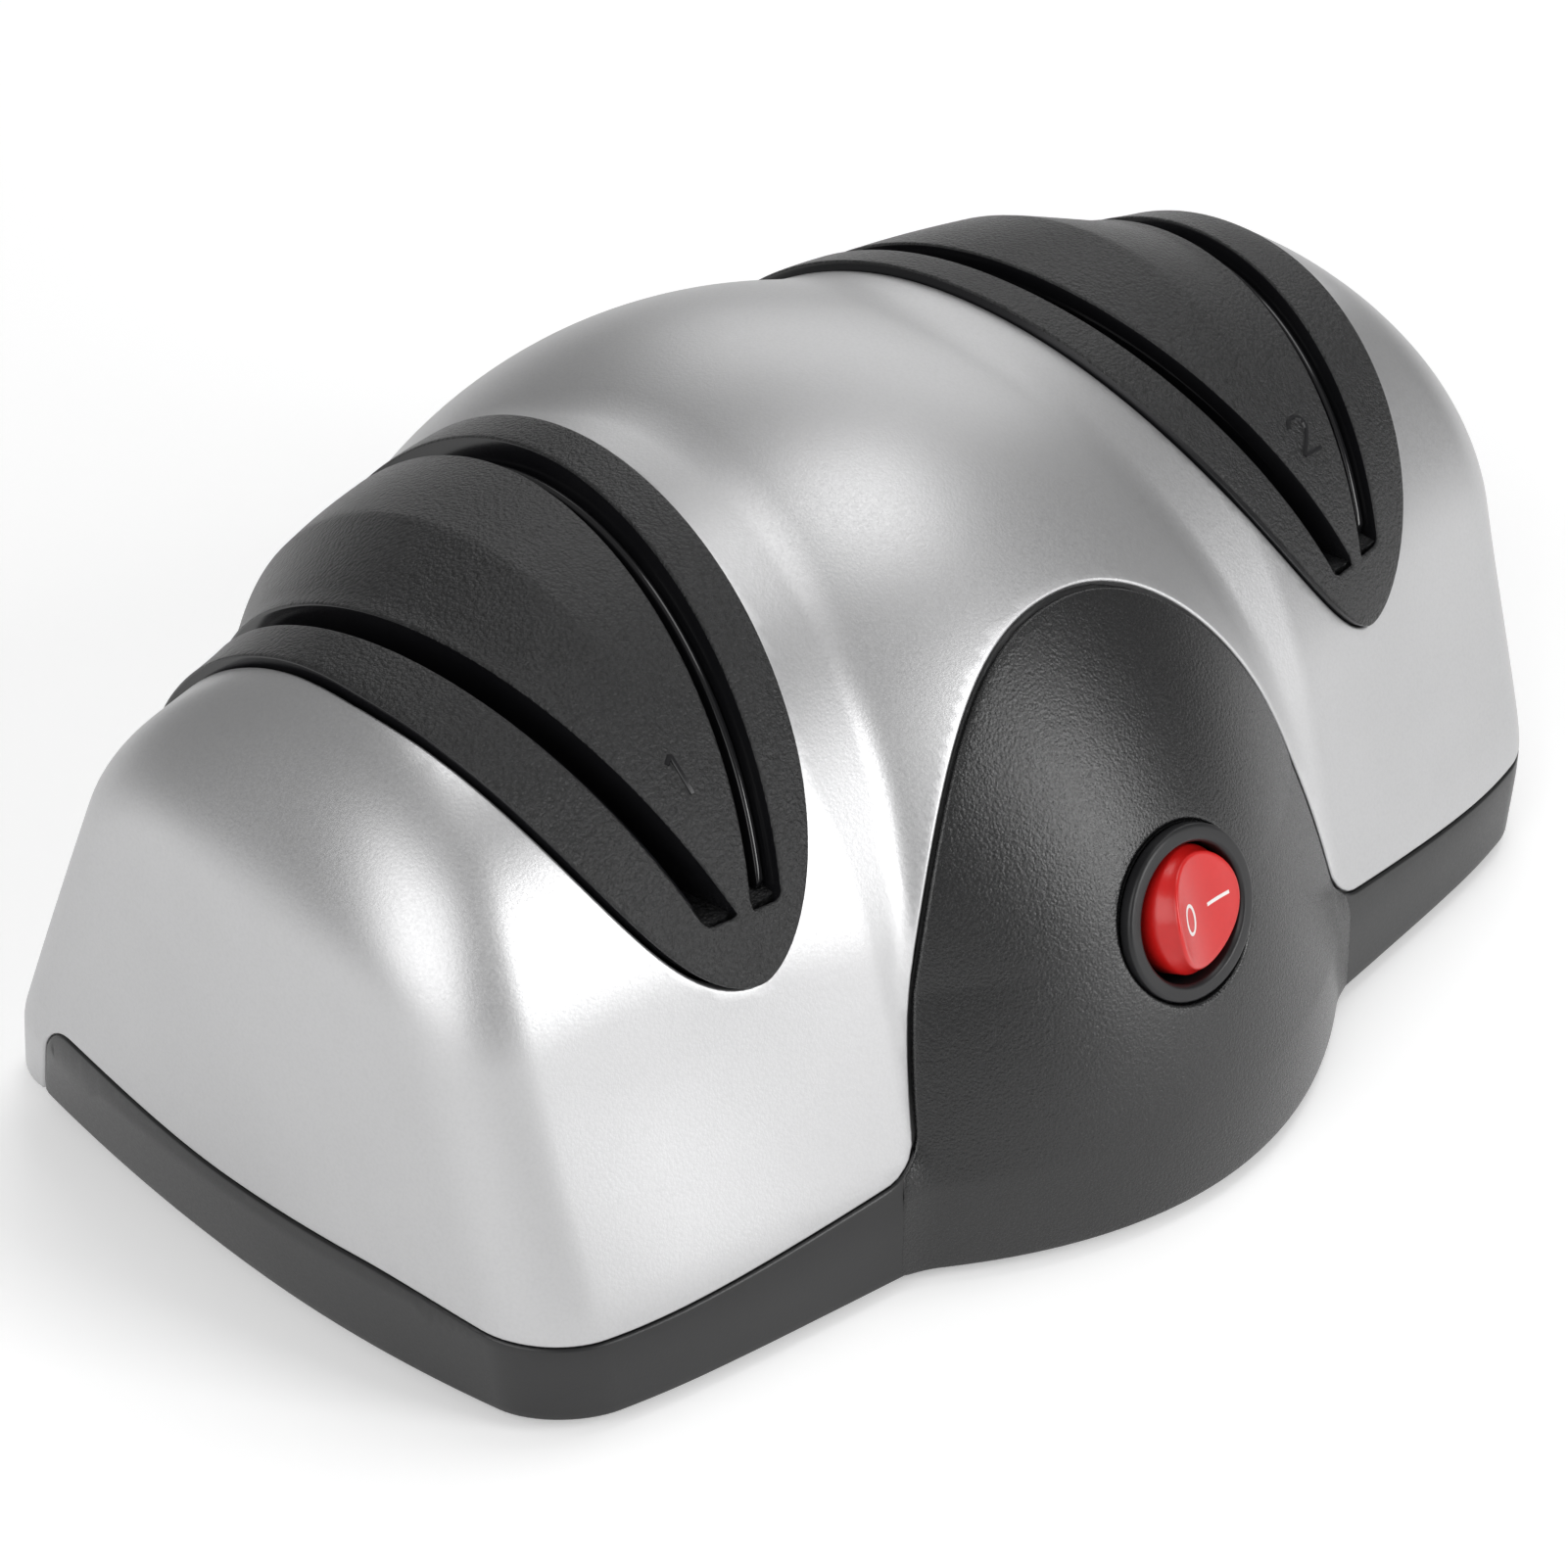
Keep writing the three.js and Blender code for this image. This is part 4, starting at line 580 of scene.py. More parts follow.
def finish(name, colour, other, roughness, metallic=0.0, cells=1500, grain=0.2, depth=0.00004,
           patch=45, coat=0.0, coat_roughness=0.1, specular=0.5, hollow_shade=0.97):
    """A moulded or worked surface: two close tones, roughness that varies, a grain, and painted shade in
    its hollows.
    """
    made = bpy.data.materials.new(name)
    made.use_nodes = True
    tree = made.node_tree
    shader = tree.nodes["Principled BSDF"]
    for label, value in (("Metallic", metallic), ("Coat Weight", coat), ("Coat Roughness", coat_roughness),
                         ("Specular IOR Level", specular)):
        shader.inputs[label].default_value = value
    place = node(tree, "TexCoord").outputs["Object"]
    patches, pebbles = node(tree, "Group", node_tree=PATCHES), node(tree, "Group", node_tree=GRAIN)
    patches.inputs["Size"].default_value = patch
    pebbles.inputs["Cells"].default_value = cells
    for group in (patches, pebbles):
        tree.links.new(place, group.inputs["Vector"])
    tone = node(tree, "Mix", {"Factor": patches.outputs["Patches"]}, data_type="RGBA")
    tone.inputs[FIRST_COLOUR].default_value = (*colour, 1)
    tone.inputs[SECOND_COLOUR].default_value = (*other, 1)
    # Painted shade: the colour is multiplied down in the hollows of the grain.
    hollow_shaded = node(tree, "Mix", {"Factor": pebbles.outputs["Hollow_Shade"]}, data_type="RGBA",
                  blend_type="MULTIPLY")
    tree.links.new(tone.outputs[MIXED_COLOUR], hollow_shaded.inputs[FIRST_COLOUR])
    hollow_shaded.inputs[SECOND_COLOUR].default_value = (hollow_shade, hollow_shade, hollow_shade, 1)
    rough = node(tree, "MapRange", {"Value": patches.outputs["Specks"]},
                 {"To Min": roughness * 0.92, "To Max": min(1, roughness * 1.1)})
    bump = node(tree, "Bump", {"Height": pebbles.outputs["Height"]}, {"Strength": grain, "Distance": depth})
    tree.links.new(hollow_shaded.outputs[MIXED_COLOUR], shader.inputs["Base Color"])
    tree.links.new(rough.outputs["Result"], shader.inputs["Roughness"])
    tree.links.new(bump.outputs["Normal"], shader.inputs["Normal"])
    made.diffuse_color = (*colour, 1)
    return made


silver_paint = finish("silver_paint", SILVER, SILVER_DARKER, 0.41, metallic=0.9, cells=2300, grain=0.3,
                      depth=0.00003, patch=28)


def within_housing(points):
    """How far inside the lower housing's region: the front arch and the skirt, with a round corner."""
    x, y, z = points.T
    window = np.where(y < 0, -outside_arch(x, z, GAP / 2), -FAR)
    return rounded_max(window, GAP / 2 - above_parting(points), CORNER_ROUND)


def shell_edge(points):
    """Negative where the upper shell is: above the skirt, outside arch, leaves and gland hole."""
    x, y, z = points.T
    gland = np.where(y > 0, GLAND_FLANGE + GAP - np.hypot(x - GLAND_X, z - GLAND_Z), -FAR)
    leaf = GAP / 2 - outside_leaf(points)
    return np.maximum.reduce([within_housing(points), UNDERSIDE - z, gland, leaf]) + LIP


outer = housing_skin()
shell_shape = walled(*trimmed(*outer, shell_edge), SHELL_WALL)


def on_gland(profile):
    """A turned shape on the gland's level axis, which points backwards."""
    _, _, _, _, lean, _ = arch_at(GLAND_X)
    y, z = side_view(GLAND_X)
    seat = Matrix.Translation((GLAND_X, y[0] - (GLAND_Z - z[0]) * math.tan(lean), GLAND_Z))
    return moved(turned(profile), seat @ Matrix.Rotation(-math.pi / 2, 4, "X"))


gland_pad = on_gland(rounded_profile([(5.8, -5), (9, -5), (9, 1.2), (5.8, 1.2)], [0, 0, 0.5, 0.3]))
boss = turned(rounded_profile([(1.8, 22), (3.8, 22), (3.8, 62), (1.8, 62)], 0.2), 24)
bosses = [moved(boss, Matrix.Translation((x, y, 0))) for x in (-87, 87) for y in (-24, 22)]
shell = piece("upper_shell_moulding", joined(shell_shape, gland_pad, *bosses), [silver_paint])
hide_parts("upper_shell")


# Lower housing: one black ABS moulding with the floor, the low skirt and the front bulge that
# carries the switch. The bulge has a fine leather grain, the skirt is satin smooth.
SKIN_WALL = 1.1
BULGE_ROUND, BULGE_FRONT = 98.3, -74.75
SWITCH_AT = Matrix.Translation((0, -65.14, 39.63)) @ Matrix.Rotation(math.radians(72.5), 4, "X")
SEAT_RADIUS, SEAT_HOLE, SEAT_WALL = 11.65, 10.3, 3.0
BULGE_TOP, BULGE_FOOT, BULGE_HALF = 76.0, 1.2, 46.0
FILLET, FILLET_ENDS, FILLET_FULL = 2.0, 22.0, 17.0
SKIRT_TOP, SKIRT_BEHIND = 21.0, 3.0
FLOOR_NEAR, FLOOR_BEHIND = 0.003, 0.0008  # in metres, as the frame's solids are
BLACK, BLACK_LIGHTER = (0.0065, 0.0066, 0.007), (0.010, 0.0101, 0.0106)
# The leather's colour is darkened to three quarters in the grain's hollows, as painted shade.
black_leather = finish("black_leather_grain", BLACK, BLACK_LIGHTER, 0.27, cells=2500, grain=0.9,
                       depth=0.00005, specular=0.6, hollow_shade=0.75)
black_satin = finish("black_satin", BLACK, BLACK_LIGHTER, 0.36, cells=2600, grain=0.16, depth=0.00003,
                     specular=0.5)


def front_face(x, z):
    """y of the front of the form without the bulge."""
    y0, z0, radius, front, _, _ = arch_at(np.abs(x))
    y = front + np.maximum(0, z - KNEE_Z) * math.tan(FRONT_LEAN)
    on_arch = y0 - np.sqrt(np.maximum(0, radius**2 - (z - z0) ** 2))
    y = np.where(z >= z0 + radius * math.sin(FRONT_LEAN), on_arch, y)
    y = y - front_bow(np.abs(x), y, z)
    dome = DOME_RADIUS**2 - x * x - (z - DOME_Z) ** 2
    return np.where(dome > 0, np.minimum(y, DOME_Y - np.sqrt(np.maximum(dome, 0))), y)


def bare_bulge(x, z):
    """y of the bulge alone, and of the front face beside it."""
    share = np.clip((z - UNDERSIDE) / BULGE_HEIGHT, 0, 1)
    half = CREASE_X * np.maximum(0, 1 - share**BULGE_POWER) ** (1 / BULGE_POWER)
    edge = front_face(half, z)
    crest = BULGE_FRONT + BULGE_ROUND - np.sqrt(BULGE_ROUND**2 - (z - UNDERSIDE) ** 2)
    across = np.minimum(np.abs(x) / np.maximum(half, 1), 1.15)
    return edge - np.maximum(0, edge - crest) * (1 - across**2), front_face(x, z)


def bulge_y(x, z):
    """y of the bulge, which runs into the skirt with a small fillet."""
    alone, face = bare_bulge(x, z)
    near = np.maximum(FILLET - np.abs(alone - face), 0) * smooth(FILLET_ENDS, FILLET_FULL, z)
    return np.where(z < FILLET_ENDS, np.minimum(alone, face), alone) - near**2 / (4 * FILLET)


def bulge_skin():
    z = np.linspace(BULGE_TOP, BULGE_FOOT, 88)
    return skin([points_of(x, bulge_y(x, z), z) for x in np.linspace(-BULGE_HALF, BULGE_HALF, 106)])


def in_switch(points):
    """Points in the switch's own frame: across, up the seat and out of it."""
    return moved((points, None), SWITCH_AT.inverted())[0]


def bulge_edge(points):
    x, y, z = points.T
    local = in_switch(points)
    seat = SEAT_RADIUS - np.hypot(local[:, 0], local[:, 1])
    alone, face = bare_bulge(x, z)
    beside = np.where(z < FILLET_ENDS, alone - face - 0.85 * FILLET, -FAR)
    return np.maximum.reduce([GAP - within_housing(points), UNDERSIDE + GAP - z, seat, beside]) + LIP


def seat_rings(p, n, away):
    """The round switch seat: wall down to the flat seat, and the hole for the switch."""
    local = in_switch(p)
    if np.hypot(local[:, 0], local[:, 1]).max() > SEAT_RADIUS + 2:
        return None
    towards = unit(local[:, :2])
    around = [(SEAT_RADIUS, 0.35), (SEAT_RADIUS - 0.1, 0.1), (SEAT_RADIUS - 0.35, 0),
              (SEAT_HOLE, 0), (SEAT_HOLE, -SEAT_WALL), (SEAT_HOLE + 1, -SEAT_WALL)]
    rings = lipped(p, n, away, LIP, LIP)[:-1]
    for radius, height in around:
        flat = points_of(*(towards * radius).T, height)
        rings.append(moved((flat, None), SWITCH_AT)[0])
    return rings


def skirt_edge(points):
    x, y, z = points.T
    behind = np.where(y < 0, CREASE_X - SKIRT_BEHIND - np.abs(x), -FAR)
    above = z - SKIRT_TOP
    return np.maximum.reduce([GAP - within_housing(points), UNDERSIDE + GAP - z, behind, above]) + LIP


def floor_body():
    """Floor, posts and bearers as the frame has them, drawn in behind the finer outside."""
    work = bmesh.new()
    work.from_mesh(nodes["lower_housing"].data)
    bmesh.ops.remove_doubles(work, verts=work.verts, dist=1e-6)
    outsides = [BVHTree.FromPolygons((p / 1000).tolist(), f) for p, _, f in (outer, bulge)]
    for v in work.verts:
        for tree in outsides:
            place, normal, _, distance = tree.find_nearest(v.co)
            if distance < FLOOR_NEAR and (v.co - place).dot(normal) > -FLOOR_BEHIND:
                v.co = place - FLOOR_BEHIND * normal
    points = np.array([v.co[:] for v in work.verts]) * 1000
    faces = [tuple(v.index for v in f.verts) for f in work.faces]
    work.free()
    return points, faces


bulge = bulge_skin()
bulge_shape = walled(*trimmed(*bulge, bulge_edge), SKIN_WALL, special=seat_rings)
skirt_shape = walled(*trimmed(*outer, skirt_edge), SKIN_WALL)
lower = piece("front_bulge", bulge_shape, [black_leather])
skirt = piece("skirt_and_floor", joined(skirt_shape, floor_body()), [black_satin])
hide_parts("lower_housing")
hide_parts("lower_housing")


# Guide inserts: two leaf-shaped black covers with a coarse spark-eroded grain, each with two
# slanting knife slots. They stand 1.3 mm above the silver shell and show a glossy side there.
LEAF_PROUD, INSERT_WALL, INSERT_LIP = 1.3, 3.0, 0.4
INSERT_FROM, INSERT_TO = STAGE_X - 29.5, 89.0
SLOT_HALF, SLOT_SLANT, SLOT_YAW, SLOT_OFFSET, SLOT_FRONT, SLOT_FLOOR = 2.2, 0.27, 0.118, 3.2, -45.0, 58.0
SLOT_FOOT, SLOT_END_SLOPE, SLOT_END_ROUND, FOOT_TURN_IN = 50.0, 0.8, 0.6, 1.2
PLATE_FOOT, PLATE_TOP, DISC_WINDOW = 57.0, 57.95, (-22.7, 33.3)
RIDGE, RIDGE_Y = 1.9, (-34.0, -2.0)
# The coarse grain's colour is darkened to 0.4 in its hollows, as painted shade.
coarse_grain = finish("insert_spark_grain", (0.012, 0.0121, 0.0125), (0.018, 0.0182, 0.019), 0.35,
                      cells=1900, grain=1.0, depth=0.00015, specular=0.42, hollow_shade=0.4)
gloss_black = finish("gloss_black", (0.006, 0.006, 0.007), (0.009, 0.009, 0.01), 0.16, cells=900,
                     grain=0.03, depth=0.00002)


def slot_middle(y, z):
    """Half distance between the middles of the two slots."""
    return SLOT_OFFSET + SLOT_YAW * (y - SLOT_FRONT) + SLOT_SLANT * (z - SLOT_FLOOR)


def outside_slots(points):
    x, y, z = points.T
    away = np.abs(np.abs(x - STAGE_X) - slot_middle(y, z)) - SLOT_HALF
    return rounded_max(away, (SLOT_FLOOR - z) / SLOT_END_SLOPE, SLOT_END_ROUND)


def insert_edge(points):
    return np.maximum(outside_leaf(points) + GAP / 2, -outside_slots(points)) + INSERT_LIP


def slot_rings(p, n, away):
    """Walls of a slot, which slant down to the guide block."""
    if np.abs(outside_slots(p)).max() > 1.5:
        return None
    side = 1 if p[:, 0].mean() > STAGE_X else -1
    rings = lipped(p, n, away, INSERT_LIP, INSERT_LIP)[:-1]
    edge = rings[-1]
    drop = edge[:, 2] - SLOT_FOOT
    foot = edge - points_of(side * SLOT_SLANT * drop, 0, drop)
    level = unit(away * [1, 1, 0] + 1e-6)
    return rings + [mix(edge, foot, 0.5), foot, foot - FOOT_TURN_IN * level]


def insert_columns():
    """Columns over one stage, close enough for the slots' edges."""
    columns = []
    fillet = end_fillet(LEAF_PROUD)
    for x in np.linspace(INSERT_FROM, INSERT_TO, 68):
        into = np.clip((x - HALF_LENGTH - LEAF_PROUD) / fillet + 1, 0, 1)
        y, z = side_view(x, LEAF_PROUD - fillet * (1 - np.sqrt(1 - into**2)))
        land = np.maximum(slot_middle(y, z) - SLOT_HALF - INSERT_LIP, 0.5)
        across = np.clip(1 - abs(x - STAGE_X) / land, 0, 1)
        rise = RIDGE * across * smooth(*RIDGE_Y, y)
        turn = np.arctan2(z - LEAF_Z, y - LEAF_Y)
        columns.append(points_of(placed(x, y, z), y + rise * np.cos(turn), z + rise * np.sin(turn)))
    return columns


def slot_end(side, way):
    """y where the insert's face comes down to a slot's floor, in front (-1) or behind (1)."""
    y = way * 40.0
    for _ in range(6):
        x = STAGE_X + side * (slot_middle(y, SLOT_FLOOR) + side * SLOT_HALF)
        y0, z0, radius, _, _, depth = arch_at(x)
        reach = math.sqrt((radius + LEAF_PROUD) ** 2 - (SLOT_FLOOR - z0) ** 2) - 3 * INSERT_LIP
        y = y0 + way * reach * (depth if way > 0 else 1)
    return y


def floor_plate(side, y0, y1):
    """Floor of a slot, between its walls."""
    points = [(STAGE_X + side * (slot_middle(y, z) + off), y, z) for y in np.linspace(y0, y1, 12)
              for off, z in cross_section(SLOT_HALF, PLATE_FOOT, PLATE_TOP)]
    faces = bar_faces(12, 4)
    return np.array(points), faces if side < 0 else flipped(faces)


insert_skin = trimmed(*skin(insert_columns()), insert_edge)
insert_shape = walled(*insert_skin, INSERT_WALL, INSERT_LIP, slot_rings)
plates = [floor_plate(side, *span) for side in (1, -1)
          for span in ((slot_end(side, -1), DISC_WINDOW[0]), (DISC_WINDOW[1], slot_end(side, 1)))]
right_insert = joined(insert_shape, *plates)


def insert_face(polygon):
    """Grain on top, gloss on the sides and in the slots."""
    out = Vector((0, polygon.center.y - LEAF_Y / 1000, polygon.center.z - LEAF_Z / 1000))
    return 0 if polygon.normal.dot(out.normalized()) > 0.4 else 1


for name, shape in (("right", right_insert), ("left", mirrored(right_insert))):
    item = piece(f"{name}_insert_cover", shape, [coarse_grain, gloss_black], pick=insert_face)
    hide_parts(f"{name}_guide_insert")


# Stage numbers: a raised 1 on the left insert and a raised 2 on the right one, moulded with the
# covers on the front slope of the land. Each stroke is a low smooth rib.
NUMBER_TURN, NUMBER_HEIGHT, RIB_HALF, RIB_RISE, RIB_SUNK = math.radians(43.2), 5.4, 0.36, 0.22, 0.2
number_strokes = {
    "left": [[(-0.2, 0.34), (0, 0.5)], [(0, 0.5), (0, -0.5)]],
    "right": [[(-0.31, 0.28), (-0.26, 0.41), (-0.12, 0.49), (0.06, 0.49), (0.22, 0.4), (0.27, 0.24),
               (0.22, 0.08), (0.04, -0.14), (-0.16, -0.33), (-0.32, -0.5)],
              [(-0.32, -0.5), (0.34, -0.5)]],
}
rib_section = ((-RIB_HALF, -RIB_SUNK), (-RIB_HALF, 0), (-0.55 * RIB_HALF, RIB_RISE),
               (0.55 * RIB_HALF, RIB_RISE), (RIB_HALF, 0), (RIB_HALF, -RIB_SUNK))


def rib(name, corners):
    """A low rib along a line drawn on the cover, whose corners are shares of the number's height."""
    side = -1 if name == "left" else 1
    cover = bpy.data.objects[f"{name}_insert_cover"].data
    tree = BVHTree.FromPolygons([v.co * 1000 for v in cover.vertices],
                                [tuple(f.vertices) for f in cover.polygons])
    corners = np.array(corners) * NUMBER_HEIGHT
    lengths = np.concatenate([[0], np.cumsum(np.linalg.norm(np.diff(corners, axis=0), axis=1))])
    along = np.linspace(0, lengths[-1], 6 * len(corners))
    line = points_of(*[np.interp(along, lengths, corners[:, k]) for k in (0, 1)])
    rings = []
    for k, (across, up) in enumerate(line):
        run = unit(line[min(k + 1, len(line) - 1)] - line[max(k - 1, 0)])
        for off, lift in rib_section:
            turn = NUMBER_TURN - (up + off * run[0]) / LEAF_ROLL
            x = side * STAGE_X + across - off * run[1]
            out = Vector((0, -math.sin(turn), math.cos(turn)))
            hit = tree.ray_cast(Vector((x, LEAF_Y, LEAF_Z)) + 90 * out, -out)[0]
            rings.append(hit + lift * out)
    return np.array(rings), flipped(bar_faces(len(line), len(rib_section)))


for name, strokes in number_strokes.items():
    ribs = joined(*[rib(name, corners) for corners in strokes])
    item = piece(f"{name}_stage_number", ribs, [gloss_black])


# Blade rails: arched strips of polished black nylon, pressed on the outer wall of each slot.
# The knife's flank slides along their round crest.
RAIL_THICKNESS, RAIL_BELOW, RAIL_FLOOR, RAIL_LOWEST = 1.2, 1.2, 58.3, 0.8
polished_nylon = finish("polished_black_nylon", (0.006, 0.006, 0.007), (0.01, 0.01, 0.011), 0.13,
                        cells=700, grain=0.02, depth=0.00002)


def rail(side):
    """One rail of the right stage, as a row of cross sections from front to back."""
    far = SLOT_HALF - GAP
    near = far - RAIL_THICKNESS
    middle = (far + near) / 2
    ys = np.linspace(-46, 46, 120)
    z = np.full(len(ys), 75.0)
    for _ in range(4):
        x = STAGE_X + side * (slot_middle(ys, z) + middle)
        y0, z0, radius, _, _, depth = arch_at(x)
        reach = (ys - y0) / np.where(ys > y0, depth, 1)
        z = z0 + np.sqrt(np.maximum((radius - RAIL_BELOW) ** 2 - reach**2, 0))
    keep = z > RAIL_FLOOR + RAIL_LOWEST
    ys, tops = ys[keep], z[keep]
    half, points = RAIL_THICKNESS / 2, []
    for y, top in zip(ys, tops):
        crest = [(middle + half * math.cos(t), top - half + half * math.sin(t))
                 for t in np.linspace(math.pi, 0, 9)]
        section = [(near, RAIL_FLOOR), *crest, (far, RAIL_FLOOR)]
        points += [(STAGE_X + side * (slot_middle(y, h) + off), y, h) for off, h in section]
    faces = bar_faces(len(ys), len(section))
    return np.array(points), faces if side > 0 else flipped(faces)


for label, side in (("outer", 1), ("inner", -1)):
    for name, shape in (("right", rail(side)), ("left", mirrored(rail(side)))):
        item = piece(f"{name}_{label}_rail_strip", shape, [polished_nylon], sharp=50)
        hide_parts(f"{name}_{label}_rail")


# Switch: a round snap-in body of black nylon with a red rocker. Its bezel lies on the seat of
# the bulge, and the rocker carries the white signs for on and off.
ROCKER_TILT, ROCKER_PIVOT = math.radians(12), 3.0
ROCKER_LOW, ROCKER_RISE, ROCKER_FLAT, ROCKER_EDGE, ROCKER_FOOT = 2.4, 1.75, 7.0, 0.5, -5.0
PRINT_HIGH, PRINT_SUNK, ZERO_X, BAR_X, BAR_HALF = 0.03, 0.05, -2.9, (1.6, 5.6), 0.24
satin_nylon = finish("satin_black_nylon", (0.009, 0.009, 0.01), (0.014, 0.014, 0.015), 0.36,
                     cells=1800, grain=0.10, depth=0.00003, specular=0.4)
red_gloss = finish("red_rocker", (0.62, 0.010, 0.009), (0.57, 0.009, 0.008), 0.3, cells=1500,
                   grain=0.05, depth=0.00002, coat=0.12, coat_roughness=0.15)
white_print = finish("white_print", (0.85, 0.82, 0.80), (0.78, 0.75, 0.73), 0.45, cells=2500,
                     grain=0.05, depth=0.00001)
bezel_profile = rounded_profile(
    [(9.05, -9), (10, -9), (10, 0.3), (11.4, 0.3), (11.4, 1.7), (11.1, 2.05), (9.5, 2.15), (9.05, 1.6)],
    [0, 0.1, 0.1, 0.2, 0.25, 0.3, 0.25, 0.2])
bezel = moved(turned(bezel_profile, 96), SWITCH_AT)
socket = moved(turned([(0, -17), (10, -17), (10, -9.0), (0, -9.0)], 48), SWITCH_AT)
switch_case = piece("switch_bezel_and_body", joined(bezel, socket), [satin_nylon], sharp=40)
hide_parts("switch_body")

ROCKER_AT = (SWITCH_AT @ Matrix.Translation((0, 0, -ROCKER_PIVOT)) @ Matrix.Rotation(ROCKER_TILT, 4, "Y")
             @ Matrix.Translation((0, 0, ROCKER_PIVOT)))


def circle(steps):
    """Cosines and sines round a circle."""
    around = np.arange(steps) * 2 * math.pi / steps
    return np.cos(around), np.sin(around)


def rocker_top(x):
    return ROCKER_LOW + ROCKER_RISE * (x / (ROCKER_FLAT + ROCKER_EDGE)) ** 2


def rocker_shape():
    """Round block with a hollow top that rises to both ends, a rounded rim and a skirt."""
    c, s = circle(96)
    rim = rocker_top(ROCKER_FLAT * c)
    rings = [(radius, rocker_top(radius * c)) for radius in np.linspace(0.6, ROCKER_FLAT, 12)]
    for t in np.linspace(0, math.pi / 2, 6)[1:]:
        height = rim - ROCKER_EDGE * (1 - math.cos(t)) + 0.05 * math.sin(t)
        rings.append((ROCKER_FLAT + ROCKER_EDGE * math.sin(t), height))
    for radius, share in ((7.75, 0.45), (8.1, 0.8), (8.22, 1.0)):
        rings.append((radius, mix(rim - ROCKER_EDGE, 0.7, share)))
    rings += [(8.22, -2.0), (5.6, ROCKER_FOOT)]
    points = [points_of(radius * c, radius * s, height) for radius, height in rings]
    points.append(np.array([[0, 0, ROCKER_LOW], [0, 0, ROCKER_FOOT]]))
    return np.concatenate(points), flipped(ring_faces(len(rings), len(c)) + fans(len(rings), len(c)))


def printed_zero():
    """A thin printed oval band on the rocker's top."""
    c, s = circle(48)
    points = []
    for wide, tall, lift in ((0.98, 1.65, PRINT_HIGH), (1.42, 2.1, PRINT_HIGH), (1.42, 2.1, -PRINT_SUNK),
                             (0.98, 1.65, -PRINT_SUNK)):
        points += [(x, y, rocker_top(x) + lift) for x, y in zip(ZERO_X + wide * c, tall * s)]
    return np.array(points), flipped(ring_faces(4, len(c), looped=True))


def printed_bar():
    """A thin printed bar along the rocker."""
    points = [(x, y, rocker_top(x) + lift) for x in np.linspace(*BAR_X, 16)
              for y, lift in cross_section(BAR_HALF, PRINT_HIGH, -PRINT_SUNK)]
    return np.array(points), flipped(bar_faces(16, 4))


rocker = piece("rocker_button", moved(rocker_shape(), ROCKER_AT), [red_gloss], body="rocker", sharp=50)
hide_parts("switch_rocker")
signs_shape = moved(joined(printed_zero(), printed_bar()), ROCKER_AT)
signs = piece("rocker_signs", signs_shape, [white_print], body="rocker")


# Cord gland: a black rubber grommet in the back wall, with a flange and two grooves that let the
# cord bend. No cord is seen in the photo, so it ends here.
black_rubber = finish("black_rubber", (0.012, 0.012, 0.012), (0.02, 0.02, 0.02), 0.62, cells=1300,
                      grain=0.25)
gland_profile = [(3.4, -5), (5.4, -5), (5.5, 1.5), (7.2, 1.5), (7.2, 3.1), (5.5, 3.1)]
gland_radii = [0.2, 0.4, 0.1, 0.4, 0.5, 0.2]
for start in (3.7, 4.9):
    gland_profile += [(4.9, start), (4.9, start + 0.6), (5.4, start + 0.6), (5.4, start + 1.0)]
    gland_radii += [0.05, 0.05, 0.1, 0.1]
gland_profile += [(5.2, 6.5), (3.4, 6.5)]
gland_radii += [0.5, 0.4]
gland_shape = on_gland(rounded_profile(gland_profile, gland_radii))
gland = piece("gland_grommet", gland_shape, [black_rubber], sharp=40)
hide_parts("cord_gland")


# Feet and housing screws: four of each, set out on the corners of a rectangle. The feet are
# soft rubber with a dished tread; the screws are zinc plated, with a recess in their heads.
def corner_tree(name):
    """Sets a shape on the four corners of a level rectangle."""
    inputs = [("Geometry", "Geometry"), ("Width", "Float"), ("Depth", "Float"), ("Middle", "Vector"),
              ("Finish", "Material")]
    tree, entry, leave = new_group(name, [(*socket, None) for socket in inputs], inputs[:1],
                                   "GeometryNodeTree")
    given = entry.outputs
    grid = node(tree, "MeshGrid", {"Size X": given["Width"], "Size Y": given["Depth"]},
                {"Vertices X": 2, "Vertices Y": 2}, "GeometryNode")
    step = grid.outputs["Mesh"]
    for kind, label, more in (("SetPosition", "Geometry", {"Offset": given["Middle"]}),
                              ("InstanceOnPoints", "Points", {"Instance": given["Geometry"]}),
                              ("RealizeInstances", "Geometry", {}),
                              ("SetMaterial", "Geometry", {"Material": given["Finish"]})):
        step = node(tree, kind, {label: step, **more}, family="GeometryNode").outputs[0]
    tree.links.new(step, leave.inputs["Geometry"])
    return tree


def on_corners(name, shape, width, depth, middle, material):
    """Four copies of a shape as one plain mesh."""
    mesh = new_mesh(name + "_one", shape)
    soften(mesh, 40)
    source = linked(name + "_one", mesh)
    layout = source.modifiers.new("corners", "NODES")
    layout.node_group = corner_tree(name + "_corners")
    values = {"Width": width / 1000, "Depth": depth / 1000, "Middle": tuple(c / 1000 for c in middle),
              "Finish": material}
    for socket in layout.node_group.interface.items_tree:
        if socket.in_out == "INPUT" and socket.name in values:
            layout[socket.identifier] = values[socket.name]
    finished = source.evaluated_get(bpy.context.evaluated_depsgraph_get())
    result = bpy.data.meshes.new_from_object(finished)
    bpy.data.objects.remove(source)
    item = linked(name, result)
    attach(item, "base")
    return item


foot_profile = rounded_profile([(0, 0.5), (3.2, 0.5), (4.2, 0), (6.6, 0), (7, 0.5), (7, 3), (0, 3)],
                               [0, 0.4, 0.3, 0.3, 0.2, 0.1, 0])
feet = on_corners("rubber_feet", turned(foot_profile), 156, 74, (0, -1, 0), black_rubber)
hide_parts(*[f"rubber_foot_{end}_{side}" for end in ("front", "back") for side in ("left", "right")])

